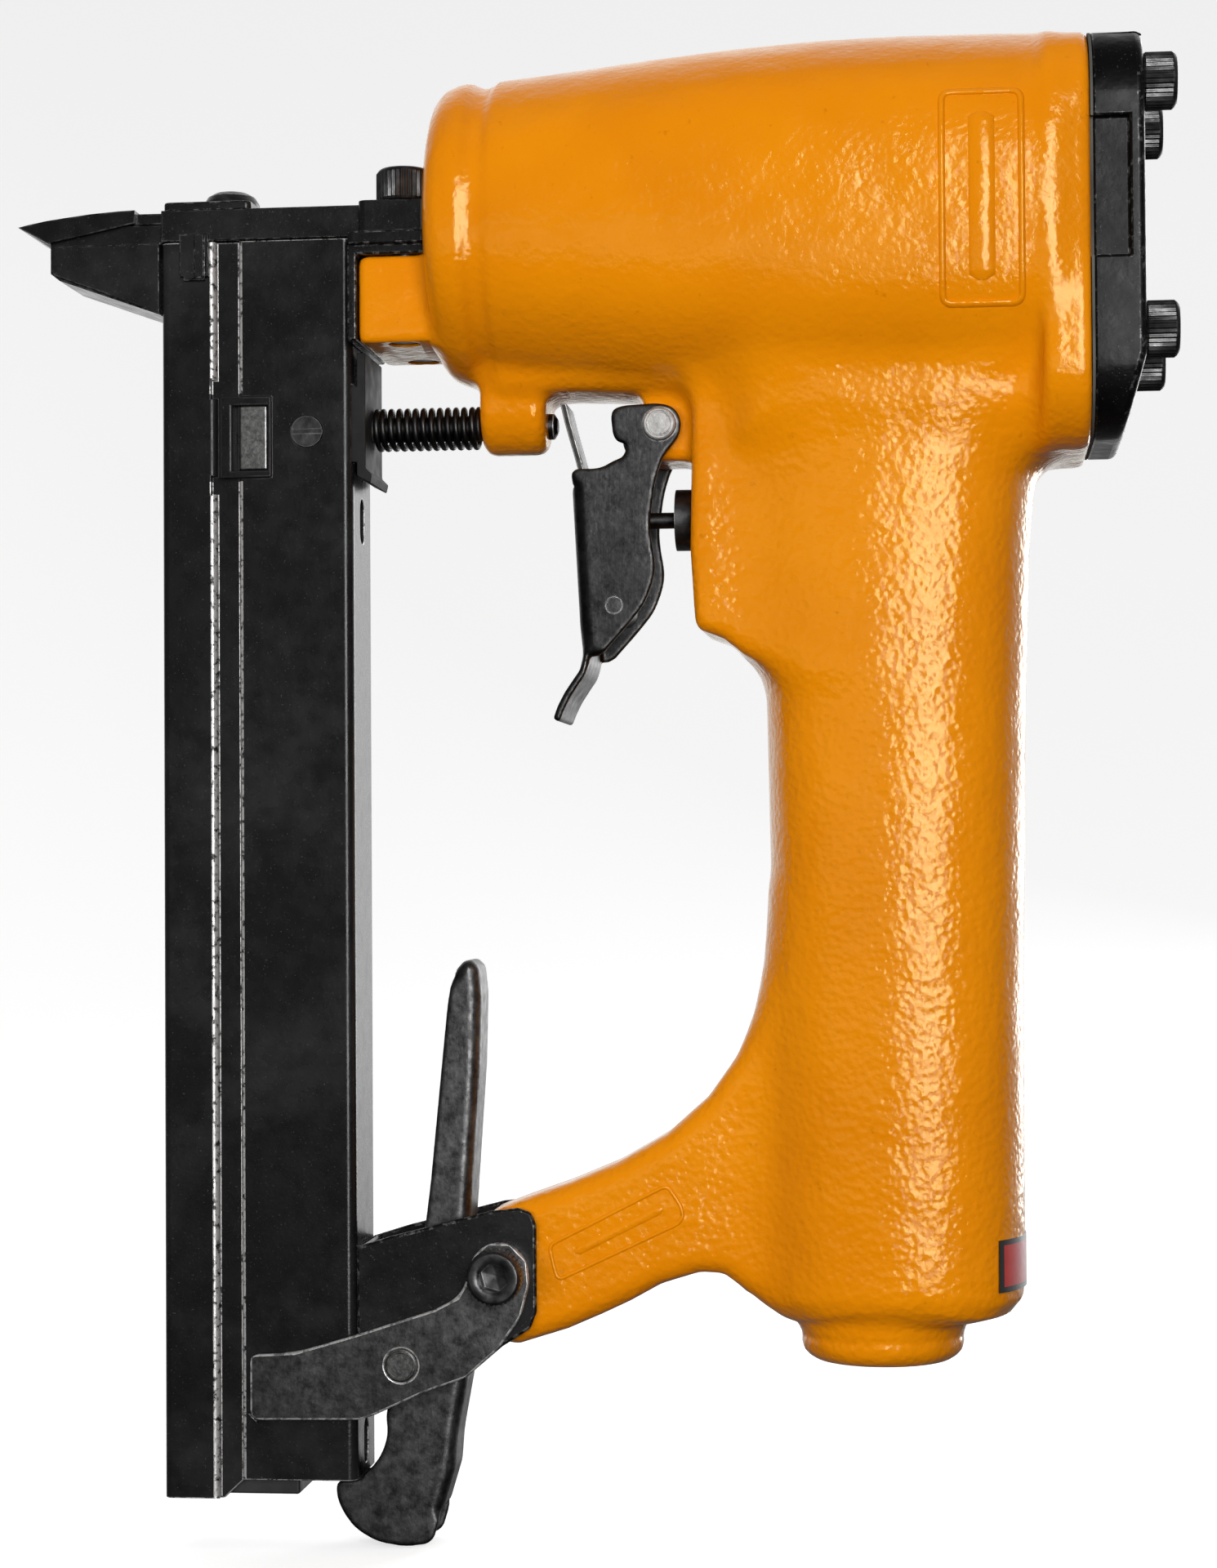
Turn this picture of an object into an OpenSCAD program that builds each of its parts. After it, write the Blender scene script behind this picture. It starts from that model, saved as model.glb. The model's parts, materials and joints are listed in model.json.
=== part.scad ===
// Fine-wire pneumatic stapler (narrow-crown tacker) with a contact safety.
// Frame: X to the rear of the driver, Z up, Y away from the viewer, millimetres.
// Origin: centre of the air inlet mouth under the handle.

/* [Show] */
// Part to draw

/* [Driver line] */
// Height of the cylinder axis above the inlet mouth
axis_z = 174; // [170:0.5:178]
// Cylinder bore radius
bore_r = 14.5; // [12:0.5:16]
// Cylinder sleeve outside radius
sleeve_r = 16.8; // [15:0.1:18]
// Driver blade width
blade_w = 11.2; // [8:0.1:12]
// Driver blade thickness
blade_t = 1.2; // [1:0.1:1.6]

/* [Casting] */
// Nose end of the barrel
nose_x = -67.5; // [-70:0.5:-65]
// Rear face of the casting
rear_x = 32.3; // [30:0.1:35]
// Outer face of the cylinder cap
cap_x = 40.2; // [39:0.1:42]
// Half width of the barrel across its flats
barrel_hw = 24.6; // [22:0.1:28]
// Handle centre, distance behind the inlet centre
grip_x = 2.8; // [0:0.1:5]
// Half width of the handle across its flats
grip_hw = 17; // [15:0.5:19]
// Inlet thread radius
inlet_r = 5.9; // [5.5:0.05:6.6]

/* [Magazine] */
// Front face of the magazine
mag_front = -110.4; // [-115:0.1:-105]
// Front edge of the fixed channel
mag_mid = -98.1; // [-100:0.1:-95]
// Rear face of the magazine
mag_rear = -80.3; // [-84:0.1:-78]
// Half width of the magazine
mag_hw = 8; // [7:0.1:9]
// Magazine sheet thickness
sheet = 0.8; // [0.6:0.1:1.2]
// Bottom end of the fixed channel
mag_low = -18.5; // [-25:0.5:-10]
// Top end of the magazine
mag_top = 172.9; // [170:0.1:173]

/* [Pivots] */
// Trigger pin, along the driver
trig_x = -32.6; // [-36:0.1:-30]
// Trigger pin height
trig_z = 142.9; // [140:0.1:146]
// Idle lever pin, along the driver
idle_x = -39.8; // [-42:0.1:-37]
// Idle lever pin height
idle_z = 115.3; // [112:0.1:118]
// Latch pin, along the driver
latch_x = -73.1; // [-76:0.1:-70]
// Latch pin height
latch_z = -0.5; // [-3:0.1:3]
// Valve and stem height
valve_z = 129; // [126:0.5:132]
// Safety rod height
rod_z = 144; // [142:0.5:146]
// Arm bolt, along the driver
bolt_x = -58.1; // [-60:0.1:-56]
// Arm bolt height
bolt_z = 13.5; // [11:0.1:16]

/* [Screws] */
// Radius of an M5 screw
m5 = 2.5; // [2.4:0.05:2.6]
// Head radius of an M5 socket screw
m5_head = 4.25; // [4:0.05:4.5]
// Half spacing of the cap screws across the tool
cap_sy = 16.5; // [15:0.1:18]
// Height of the upper cap screws
cap_su = 191; // [188:0.1:193]
// Height of the lower cap screws
cap_sl = 154.2; // [151:0.1:157]
// Nose screws, along the driver
nose_sx = -71.9; // [-74:0.1:-70]
// Half spacing of the nose screws
nose_sy = 8.8; // [8.7:0.1:9]

/* [Hidden] */
fine = 64;
m5_clear = m5 + 0.1;
m5_fit = m5 + 0.02;
blade_z0 = axis_z - blade_t / 2;
blade_z1 = axis_z + blade_t / 2;
plate_z0 = 173.05;
plate_z1 = 177.9;
paint = [0.88, 0.50, 0.02];
black = [0.09, 0.09, 0.10];
blued = [0.22, 0.22, 0.23];
steel = [0.72, 0.72, 0.74];
brass = [0.75, 0.60, 0.30];
soft = [0.12, 0.12, 0.12];

// ---- shared shapes ----

// box given by its two corners
module span(x0, x1, y0, y1, z0, z1)
    translate([x0, y0, z0]) cube([x1 - x0, y1 - y0, z1 - z0]);

// box with its four edges along z rounded
module post(x0, x1, y0, y1, z0, z1, r) {
    span(x0 + r, x1 - r, y0, y1, z0, z1);
    span(x0, x1, y0 + r, y1 - r, z0, z1);
    for (x = [x0 + r, x1 - r], y = [y0 + r, y1 - r])
        translate([x, y, z0]) cylinder(r = r, h = z1 - z0, $fn = fine);
}

// box with its four edges along x rounded
module slab_x(x0, x1, y0, y1, z0, z1, r) {
    span(x0, x1, y0 + r, y1 - r, z0, z1);
    span(x0, x1, y0, y1, z0 + r, z1 - r);
    for (y = [y0 + r, y1 - r], z = [z0 + r, z1 - r])
        translate([x0, y, z]) rotate([0, 90, 0]) cylinder(r = r, h = x1 - x0, $fn = fine);
}

// round bar along x
module bar_x(x0, x1, y, z, r)
    translate([x0, y, z]) rotate([0, 90, 0]) cylinder(r = r, h = x1 - x0, $fn = fine);

// round bar across the tool
module bar_y(x, z, y0, y1, r)
    translate([x, y0, z]) rotate([-90, 0, 0]) cylinder(r = r, h = y1 - y0, $fn = fine);

// turned shape on the cylinder axis, points are [radius, x]
module turned(pts, z = axis_z)
    translate([0, 0, z]) rotate([0, 90, 0]) rotate_extrude($fn = fine) polygon(pts);

// side profile in x and z, pulled across the tool
module side(pts, y0, y1)
    translate([0, y1, 0]) rotate([90, 0, 0]) linear_extrude(height = y1 - y0) polygon(pts);

// ring of round section on an x axis
module ring_x(x, z, big, small)
    translate([x, 0, z]) rotate([0, 90, 0]) rotate_extrude($fn = 48)
        translate([big, 0]) circle(r = small, $fn = 20);

// socket screw head with its hexagon recess, pointing up z from zero
module socket_head(r, h, hex) difference() {
    union() {
        cylinder(r = r, h = h - 0.5, $fn = 48);
        translate([0, 0, h - 0.5]) cylinder(r1 = r, r2 = r - 0.5, h = 0.5, $fn = 48);
    }
    translate([0, 0, h * 0.45]) cylinder(r = hex / sqrt(3), h = h, $fn = 6);
}

// coil spring drawn as a grooved sleeve with one groove a coil, along z from zero
module coil(h, r, wire, turns) {
    p = h / turns;
    rotate_extrude($fn = 28) difference() {
        translate([r - wire, 0]) square([wire, h]);
        for (i = [0 : turns - 1]) translate([r, (i + 0.5) * p]) rotate(45)
            square(min(wire, p) * 0.75, center = true);
    }
}

// ---- casting ----

module barrel() intersection() {
    turned([[0, nose_x], [17, nose_x], [20.3, nose_x + 0.6], [22.3, nose_x + 2],
        [23.4, nose_x + 4.2], [23.5, nose_x + 6], [22.9, nose_x + 7.8], [23.6, nose_x + 9.8],
        [24.7, -46.8], [26.1, -33.9], [27.3, -21.2], [28.1, -8.5], [28.4, 4.1], [28.3, 16.6],
        [28.1, 27.8], [26, 29.4], [0, 29.4]]);
    span(-80, 40, -barrel_hw, barrel_hw, 140, 210);
}

module rear_flange()
    slab_x(26.5, rear_x, -23.2, 23.2, 137.2, 199.8, 12.5);

module nose_block() post(-78.7, -60, -12, 12, 156, 169.4, 1.2);

module rod_lug() {
    bar_x(-60.8, -50.6, 0, 146.6, 7);
    span(-60.8, -50.6, -7, 7, 146.6, 158);
}

module underside() {
    post(-61.5, -24, -8.5, 8.5, 148.2, 160, 3);
    side([[-20, 137], [26.6, 137], [28.5, 138], [28.5, 160], [-20, 160]], -16, 16);
}

module trigger_lug() post(-35.4, -20, -6.8, 6.8, 137.6, 152, 1.5);

module valve_block()
    side([[-27.2, 152], [-27.9, 123.5], [-27.2, 112.2], [-26.4, 111.2], [-23.1, 110],
        [-20, 107.6], [-10, 104], [2, 104], [2, 152]], -12, 12);

module grip() intersection() {
    translate([grip_x, 0, 0]) rotate_extrude($fn = 96)
        polygon([[0, 6.3], [13, 6.3], [17, 7.6], [18.7, 9.6], [18.9, 14], [19.1, 60],
            [19.8, 100], [20.6, 124], [21.6, 132], [24, 137], [24, 150], [0, 150]]);
    span(-30, 30, -grip_hw, grip_hw, 0, 170);
}

module arm() {
    side([[-62.8, 19.5], [-62.8, 6], [-60.5, 3], [-55.7, 2.2], [-48, 4.6], [-42.9, 6.8],
        [-38.4, 8.9], [-31.4, 13.1], [-27.6, 14.4], [-25.1, 14.2], [-22.6, 12.6],
        [-20.7, 9.7], [-17.6, 6.8], [-5, 6.4], [-5, 78], [-17.2, 76.7], [-18.1, 60.3],
        [-19.2, 52.8], [-21.7, 46.5], [-26.2, 40.2], [-32.6, 34.5], [-40.2, 30.1],
        [-47.9, 26.9], [-54.2, 24.7], [-59.4, 22.7]], -6.9, 6.9);
}

module inlet_boss()
    rotate_extrude($fn = 96)
        polygon([[0, 0], [10, 0], [11.3, 0.5], [12.3, 1.8], [12.6, 3.6], [12.6, 12], [0, 12]]);

// plain raised panel frame on the barrel side
module panel_frame() for (s = [-1, 1]) difference() {
    span(10.2, 22.6, s * 24.9 - 0.5, s * 24.9 + 0.5, 157.2, 189.2);
    span(11.2, 21.6, s * 25.4 - 1, s * 25.4 + 1, 158.2, 188.2);
}

module gun_body() color(paint) difference() {
    union() {
        barrel();
        rear_flange();
        nose_block();
        rod_lug();
        underside();
        trigger_lug();
        valve_block();
        grip();
        arm();
        inlet_boss();
        panel_frame();
    }
    // driver opening in the nose
    span(nose_x - 1, -60, -6.4, 6.4, axis_z - 1.4, axis_z + 1.4);
    // sleeve seat, air chamber round the sleeve, head valve bore
    bar_x(-62.5, 0, 0, axis_z, sleeve_r + 0.05);
    bar_x(-44, 10, 0, axis_z, 19.5);
    bar_x(8, rear_x + 1, 0, axis_z, 20);
    // air reservoir in the handle and the inlet thread
    translate([grip_x, 0, 18]) cylinder(r = 13, h = 145, $fn = fine);
    translate([0, 0, -1]) cylinder(r = inlet_r, h = 22, $fn = fine);
    // trigger valve bore
    bar_x(-29, -5, 0, valve_z, 5);
    // safety rod, trigger pin and arm bolt
    bar_x(-62, -50, 0, rod_z, 2.06);
    bar_y(trig_x, trig_z, -8, 8, m5_fit);
    bar_y(bolt_x, bolt_z, -8, 8, 2.6);
    // tapped holes
    for (s = [-1, 1]) {
        translate([nose_sx, s * nose_sy, 150]) cylinder(r = m5_fit, h = 25, $fn = 32);
        for (z = [cap_su, cap_sl]) bar_x(16, rear_x + 1, s * cap_sy, z, m5_fit);
    }
    // flat under the safety bracket
    span(-85, nose_x, -13, 13, 100, 156);
}

module cap_outline(x0, x1, pocket) difference() {
    slab_x(x0, x1, -22.8, 22.8, 138.6, 199.6, 12);
    for (s = [-1, 1]) span(x0 - 1, pocket, s * 24 - 2.6, s * 24 + 2.6, 164.2, 184.8);
}

module cylinder_cap() color(black) difference() {
    cap_outline(32.7, cap_x, 38);
    bar_x(32, 35.2, 0, axis_z, 19.9);
    bar_x(32, 38.4, 0, axis_z, 12);
    // slanted foot of the outer face
    side([[cap_x + 0.1, 150.4], [cap_x - 3.3, 138], [42, 138], [42, 150.4]], -30, 30);
    // edge chamfer at the top
    side([[cap_x - 1.6, 200], [cap_x + 0.1, 198.2], [42, 200]], -30, 30);
    for (s = [-1, 1], z = [cap_su, cap_sl]) bar_x(32, 42, s * cap_sy, z, m5_clear);
    // exhaust slots in the outer face
    for (i = [-2 : 2]) span(36, 42, -7, 7, axis_z - 1 + i * 4.4, axis_z + 1 + i * 4.4);
}

module cap_gasket() color(soft) difference() {
    cap_outline(rear_x, 32.7, 33);
    bar_x(32, 33, 0, axis_z, 20);
    for (s = [-1, 1], z = [cap_su, cap_sl]) bar_x(32, 33, s * cap_sy, z, m5_clear);
}

module cap_screws() color(black) for (s = [-1, 1], z = [cap_su, cap_sl])
    translate([cap_x, s * cap_sy, z]) rotate([0, 90, 0]) {
        socket_head(m5_head, 5, 4);
        translate([0, 0, -22.8]) cylinder(r = m5, h = 22.9, $fn = 32);
    }

// ---- cylinder, piston and head valve ----

module cylinder_sleeve() color(steel) difference() {
    union() {
        bar_x(-62.4, 12, 0, axis_z, sleeve_r);
        bar_x(8.02, 12, 0, axis_z, 19.95);
    }
    bar_x(-63, 13, 0, axis_z, bore_r);
    for (x = [-58.5, -50.5]) difference() {
        bar_x(x - 1.1, x + 1.1, 0, axis_z, 18);
        bar_x(x - 2, x + 2, 0, axis_z, 15.6);
    }
    for (a = [0 : 60 : 300]) translate([-41, 0, axis_z]) rotate([a, 0, 0])
        cylinder(r = 1.4, h = 20, $fn = 24);
}

module sleeve_orings() color(soft) for (x = [-58.5, -50.5]) ring_x(x, axis_z, 16.2, 0.58);

module bumper() color(soft) turned([[7, -62.4], [14.3, -62.4], [14.4, -58], [13.4, -54],
    [14.2, -50], [13.6, -47.4], [7, -47.4]]);

module piston() color(steel) difference() {
    turned([[0, 0], [9, 0], [11, 1.5], [14.4, 2.4], [14.4, 3.4], [13.1, 3.4], [13.1, 5.8],
        [14.4, 5.8], [14.4, 9], [0, 9]]);
    bar_x(6, 10, 0, axis_z, 9.5);
    span(-1, 5, -5.62, 5.62, blade_z0 - 0.02, blade_z1 + 0.02);
    translate([2.6, 0, axis_z - 9]) cylinder(r = 1.27, h = 18, $fn = 24);
}

module piston_oring() color(soft) ring_x(4.6, axis_z, 13.85, 0.6);

module driver_pin() color(steel)
    translate([2.6, 0, axis_z - 8]) cylinder(r = 1.25, h = 16, $fn = 24);

module driver_blade() color(steel) difference() {
    span(-84, 4.9, -blade_w / 2, blade_w / 2, blade_z0, blade_z1);
    translate([2.6, 0, axis_z - 9]) cylinder(r = 1.27, h = 18, $fn = 24);
}

module head_valve() color(soft) difference() {
    turned([[0, 12.2], [17.6, 12.2], [19.9, 14.6], [19.9, 19], [18.4, 19], [18.4, 21.4],
        [19.9, 21.4], [19.9, 27], [0, 27]]);
    bar_x(18, 28, 0, axis_z, 11.5);
    bar_x(10, 19, 0, axis_z, 4);
}

module head_valve_oring() color(soft) ring_x(20.2, axis_z, 19.18, 0.76);

module head_valve_spring() color(steel)
    translate([18.1, 0, axis_z]) rotate([0, 90, 0]) coil(20.2, 10.6, 1.4, 6);

// ---- nose ----

module nose_plate() color(black) difference() {
    union() {
        span(-110.3, -67.7, -8.4, 8.4, plate_z0, plate_z1);
        post(-78.6, -67.7, -11.9, 11.9, plate_z0, plate_z1, 1.2);
        // tabs over the magazine's sides
        for (s = [-1, 1]) {
            span(-107.3, -102.7, s * 8.4 - 0.33, s * 8.4 + 0.33, 167.4, 174);
            span(-106.7, -103.3, s * 8.4 - 0.33, s * 8.4 + 0.33, 166.8, 174);
            span(-104.9, -103.4, s * 8.5 - 0.44, s * 8.5 + 0.44, 167.3, 174);
        }
        // staple outlet below the contact foot
        side([[-110.2, 173.1], [-110.8, 173.1], [-110.8, 161.9], [-127, 167.7],
            [-128.4, 168.8], [-128.4, 174], [-124, 175.2], [-118, 176], [-110.2, 176]],
            -6.9, 6.9);
        side([[-110.8, 172.9], [-110.8, 162.1], [-126.4, 167.9], [-127.6, 168.5],
            [-128.1, 169.4], [-128.1, 172.9]], -7.8, 7.8);
    }
    // hollow under the outlet
    side([[-110, 171], [-110, 164], [-122, 168.8], [-124, 171]], -5.2, 5.2);
    // driver slot
    span(-131, -60, -5.9, 5.9, 173, 174.8);
    // contact foot slot and the openings for its legs
    span(-111, -85, -4.7, 4.7, 176, 180);
    span(-111, -106, -7.3, 7.3, 176, 180);
    span(-100.6, -85, -7.3, 7.3, 176, 180);
    for (s = [-1, 1]) span(-98, -85.9, s * 6.6 - 0.65, s * 6.6 + 0.65, 170, 178);
    translate([-101, 0, 170]) cylinder(r = 2.02, h = 10, $fn = 32);
    for (s = [-1, 1]) translate([nose_sx, s * nose_sy, 170]) cylinder(r = m5_clear, h = 10, $fn = 32);
}

module nose_rear_plate() color(black) difference() {
    post(-80.2, -67.8, -12.6, 12.6, 171.05, plate_z0, 1);
    for (s = [-1, 1]) translate([nose_sx, s * nose_sy, 170]) cylinder(r = m5_clear, h = 5, $fn = 32);
}

module head_bracket() color(black) difference() {
    union() {
        span(-80.25, -67.8, -12.2, 12.2, 169.45, 171.05);
        span(-80.25, -78.75, -12.2, 12.2, 156.3, 171.05);
    }
    for (s = [-1, 1]) translate([nose_sx, s * nose_sy, 160]) cylinder(r = m5_clear, h = 15, $fn = 32);
}

module nose_screws() color(black) for (s = [-1, 1]) translate([nose_sx, s * nose_sy, plate_z1]) {
    socket_head(m5_head, 5, 4);
    translate([0, 0, -21.6]) cylinder(r = m5, h = 21.7, $fn = 32);
}

module cover_plate() color(black) difference() {
    post(-110.2, -96.3, -7.5, 7.5, plate_z1, 179.4, 1);
    translate([-101, 0, 170]) cylinder(r = 2.15, h = 12, $fn = 32);
}

module button_screw() color(black) difference() {
    translate([-101, 0, 0]) rotate_extrude($fn = 48)
        polygon([[0, 174.9], [1.9, 174.9], [2, 175.3], [2, 179.4], [4.5, 179.4], [4.4, 180.2],
            [3.7, 181.3], [2.6, 181.9], [0, 182.1]]);
    translate([-101, 0, 180.4]) cylinder(r = 1.5, h = 3, $fn = 6);
}

// ---- contact safety ----

module contact_foot() color(black) difference() {
    union() {
        // pointed beak over the outlet
        side([[-133.3, 176], [-131.5, 176.4], [-128.8, 176.9], [-125.8, 177.3], [-121.5, 177.8],
            [-117.3, 178.1], [-114.6, 178.2], [-114.6, 176.2], [-121, 174.9], [-128.6, 173.4]],
            -8, 8);
        // tongue in the slot of the nose plate
        span(-115, -90.2, -4.4, 4.4, 176.1, 177.75);
        span(-115, -110.5, -7, 7, 176.1, 177.75);
        span(-97.6, -90.2, -7.15, 7.15, 176.1, 177.75);
        for (s = [-1, 1]) span(-97.6, -90.2, s * 6.65 - 0.5, s * 6.65 + 0.5, 160, 177);
    }
    // clear of the outlet
    side([[-134, 170], [-134, 175], [-129.2, 175], [-124, 176.1], [-110, 176.1], [-110, 170]],
        -7.05, 7.05);
    // slot for the guide screw
    span(-105.2, -101, -2.2, 2.2, 175, 179);
    for (x = [-105.2, -101]) translate([x, 0, 175]) cylinder(r = 2.2, h = 5, $fn = 32);
}

module safety_yoke() color(black) difference() {
    union() {
        for (s = [-1, 1]) {
            span(-97.6, -90.2, s * 6.65 - 0.5, s * 6.65 + 0.5, 138.2, 160);
            span(-97.6, -78.4, s * 6.65 - 0.5, s * 6.65 + 0.5, 138.2, 150);
        }
        span(-79.8, -78.4, -7.15, 7.15, 136, 155.2);
        side([[-79.8, 136], [-77.7, 134.9], [-77.4, 136.2], [-78.4, 137.2]], -7.15, 7.15);
    }
    bar_x(-81, -70, 0, rod_z, 1.5);
}

module safety_rod() color(blued) {
    bar_x(-79.9, -78.3, 0, rod_z, 1.5);
    bar_x(-78.4, -49.8, 0, rod_z, 2);
    translate([-49.8, 0, rod_z]) rotate([0, 90, 0]) cylinder(r1 = 2, r2 = 1.1, h = 0.6, $fn = 64);
}

module safety_spring() color(blued)
    translate([-78.3, 0, rod_z]) rotate([0, 90, 0]) coil(17.4, 3.45, 0.95, 12);

// ---- trigger and valve ----

module trigger_profile()
    polygon([[-46.3, 136.4], [-41.9, 136.3], [-39.7, 137.5], [-38.1, 138.1], [-37.7, 140],
        [-39.7, 140.6], [-40.2, 145], [-38.7, 145.9], [-32.6, 146.2], [-30.4, 145.5],
        [-29.3, 143.6], [-29.5, 141.4], [-30.6, 139.8], [-32.2, 138], [-33.4, 134.2],
        [-34.3, 128], [-34, 124.9], [-33.4, 121.7], [-33.7, 119.2], [-35.1, 115.5],
        [-37.6, 112.4], [-42.1, 107.4], [-44.8, 107.4], [-44.8, 108.4], [-45.2, 112],
        [-46.3, 133.4]]);

module trigger() color(blued) difference() {
    union() {
        for (s = [-1, 1]) translate([0, s * 7.8 + 0.6, 0]) rotate([90, 0, 0])
            linear_extrude(height = 1.2) trigger_profile();
        // spine and finger tail
        side([[-46.3, 133.4], [-45.1, 133.4], [-44, 112], [-43.5, 108.2], [-43.6, 106.6],
            [-44.3, 104.8], [-45.4, 103.2], [-46.6, 101.4], [-47.6, 99.4], [-48.3, 97.6],
            [-49.3, 98], [-48.6, 100], [-47.5, 102.1], [-46.2, 104], [-45.2, 105.4],
            [-44.8, 107.4], [-44.8, 108.4], [-45.2, 112]], -8.4, 8.4);
    }
    bar_y(trig_x, trig_z, -10, 10, 2.54);
    bar_y(idle_x, idle_z, -10, 10, 1.22);
}

module trigger_pin() color(steel) bar_y(trig_x, trig_z, -9.4, 9.4, m5);

module idle_lever() color(blued) difference() {
    union() {
        side([[-48.4, 147], [-47.4, 147], [-46.7, 144], [-44.9, 137.5], [-43.6, 132.5],
            [-42.6, 128], [-39.6, 117.5], [-41.9, 116], [-43.6, 128], [-44.6, 132.5],
            [-45.9, 137.5], [-47.7, 144]], -4.5, 4.5);
        bar_y(idle_x, idle_z, -6.6, 6.6, 2.4);
    }
    bar_y(idle_x, idle_z, -8, 8, 1.26);
}

module idle_pin() color(black) bar_y(idle_x, idle_z, -8, 8, 1.2);

module valve_housing() color(black) difference() {
    union() {
        bar_x(-27.9, -9, 0, valve_z, 4.95);
        bar_x(-30.8, -27.85, 0, valve_z, 4.75);
    }
    bar_x(-26.5, -9.8, 0, valve_z, 3.5);
    bar_x(-32, -8, 0, valve_z, 1.32);
    difference() {
        bar_x(-25.1, -23.3, 0, valve_z, 6);
        bar_x(-26, -23, 0, valve_z, 4);
    }
}

module valve_oring() color(soft) ring_x(-24.2, valve_z, 4.45, 0.44);

module valve_stem() color(steel) {
    bar_x(-40.8, -16, 0, valve_z, 1.25);
    bar_x(-22, -18, 0, valve_z, 3.44);
}

module valve_spring() color(steel)
    translate([-17.95, 0, valve_z]) rotate([0, 90, 0]) coil(8.1, 3.2, 0.6, 5);

// ---- magazine ----

module magazine_channel() color(black) difference() {
    union() {
        intersection() {
            post(mag_mid - 4, mag_rear, -mag_hw, mag_hw, mag_low, mag_top, 1.5);
            span(mag_mid, mag_rear + 1, -9, 9, mag_low, mag_top);
        }
        // raised frames round the keys
        for (s = [-1, 1]) span(-101.3, -93, s * 7.9 - 0.55, s * 7.9 + 0.55, 136, 148.6);
    }
    intersection() {
        post(mag_mid - 6, mag_rear - 1, -mag_hw + sheet, mag_hw - sheet, mag_low - 1,
            mag_top + 1, 0.7);
        span(mag_mid - 1, mag_rear, -9, 9, mag_low - 1, mag_top + 1);
    }
    // inspection slots in the rear wall
    for (z = [126.2, -17]) {
        span(-82, -80, -1.8, 1.8, z + 1.8, z + 5.2);
        for (e = [1.8, 5.2]) bar_x(-82, -80, 0, z + e, 1.8);
    }
    // slots for the safety yoke
    for (s = [-1, 1]) span(-82, -80, s * 6.65 - 0.6, s * 6.65 + 0.6, 138, 150.2);
    // seats of the keys
    for (s = [-1, 1]) span(-99, -93.5, s * 8 - 1, s * 8 + 1, 137.1, 147.2);
    bar_y(-87.4, 143, -9, 9, 2.42);
}

module channel_keys() color(steel) for (s = [-1, 1])
    post(-98.05, -93.55, s * 7.8 - 0.6, s * 7.8 + 0.6, 137.15, 147.15, 0.4);

module channel_rivets() color(black) for (s = [-1, 1]) difference() {
    bar_y(-87.4, 143, s * 7.75 - 0.5, s * 7.75 + 0.5, 2.4);
    span(-90, -84, s * 8.4 - 0.4, s * 8.4 + 0.4, 142.65, 143.35);
}

module magazine_cover() color(black) difference() {
    union() {
        difference() {
            intersection() {
                post(mag_front, mag_mid + 4, -mag_hw, mag_hw, -21.5, mag_top, 1.2);
                span(mag_front - 1, -101.7, -9, 9, -22, mag_top);
            }
            span(mag_front + 1, -100, -7.2, 7.2, -22.5, mag_top + 1);
        }
        // inner lips that run along the channel
        for (s = [-1, 1]) {
            span(-104, -101.7, s * 6.7 - 0.5, s * 6.7 + 0.5, -21.5, mag_top);
            span(-103, -98.2, s * 6.65 - 0.45, s * 6.65 + 0.45, -21.5, mag_top);
        }
    }
    side([[-101.7, -22], [-97, -17.6], [-97, -22]], -9, 9);
    // notches beside the keys
    for (s = [-1, 1], z = [148.4, 133.4]) span(-102.6, -101, s * 8 - 0.9, s * 8 + 0.9, z, z + 3);
}

module staple_rail() color(steel) difference() {
    span(-109.4, -89.6, -4.5, 4.5, -16, 172.6);
    span(-108.3, -89, -3.5, 3.5, -17, 171.4);
    span(-91, -89, -4.6, 4.6, 171.8, 173);
}

module rail_end_block() color(black) difference() {
    union() {
        span(-109.38, -89.6, -6.15, 6.15, -21, -16.05);
        span(-109.38, -104.2, -7.15, 7.15, -21, -16.05);
    }
    translate([-97, 0, -22]) cylinder(r = 1.22, h = 8, $fn = 24);
}

module pusher() color(steel) difference() {
    union() {
        span(-89.4, -88, -5.6, 5.6, 150, 172.4);
        for (s = [-1, 1]) span(-106, -88, s * 5.15 - 0.45, s * 5.15 + 0.45, 150, 172.4);
        span(-100.2, -88, -3.3, 3.3, 150, 154);
    }
    translate([-97, 0, 140]) cylinder(r = 1.28, h = 20, $fn = 24);
}

module pusher_rod() color(steel) translate([-97, 0, -21]) cylinder(r = 1.2, h = 188, $fn = 24);

module pusher_spring() color(steel) translate([-97, 0, -16]) coil(165.9, 2.6, 0.7, 22);

// ---- lower bracket and latch ----

module arm_bracket() color(black) difference() {
    union() {
        for (y = [-8.1, 7]) side([[-80.2, 17.3], [-74.7, 19], [-59.5, 22.9], [-55.2, 23.4],
            [-53.2, 22.7], [-52.4, 20.8], [-52.4, 7.6], [-53.4, 5], [-57.7, 2.3],
            [-63.2, -2.4], [-69.4, -4.5], [-77, -8], [-80.2, -8.6]], y, y + 1.1);
        span(-80.25, -79.2, -8.1, 8.1, 4, 17.3);
    }
    bar_y(bolt_x, bolt_z, -10, 10, 2.6);
    bar_y(latch_x, latch_z, -10, 10, m5_fit);
}

module side_links() color(blued) difference() {
    for (y = [-9.6, 8.15]) side([[-96.6, 0.9], [-89.6, 1.3], [-80.7, 3.9], [-68, 8],
        [-64.3, 9.9], [-62.9, 12.4], [-62.2, 16], [-59.6, 18.3], [-56.2, 18.2], [-53.6, 15.6],
        [-53.3, 12], [-54.6, 7], [-58, 2.2], [-63.1, -2.3], [-69.4, -4.5], [-77, -8],
        [-79.5, -8.9], [-96, -9.1], [-96.6, -8.5]], y, y + 1.45);
    bar_y(bolt_x, bolt_z, -12, 12, 2.6);
    bar_y(latch_x, latch_z, -12, 12, m5_fit);
}

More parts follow.
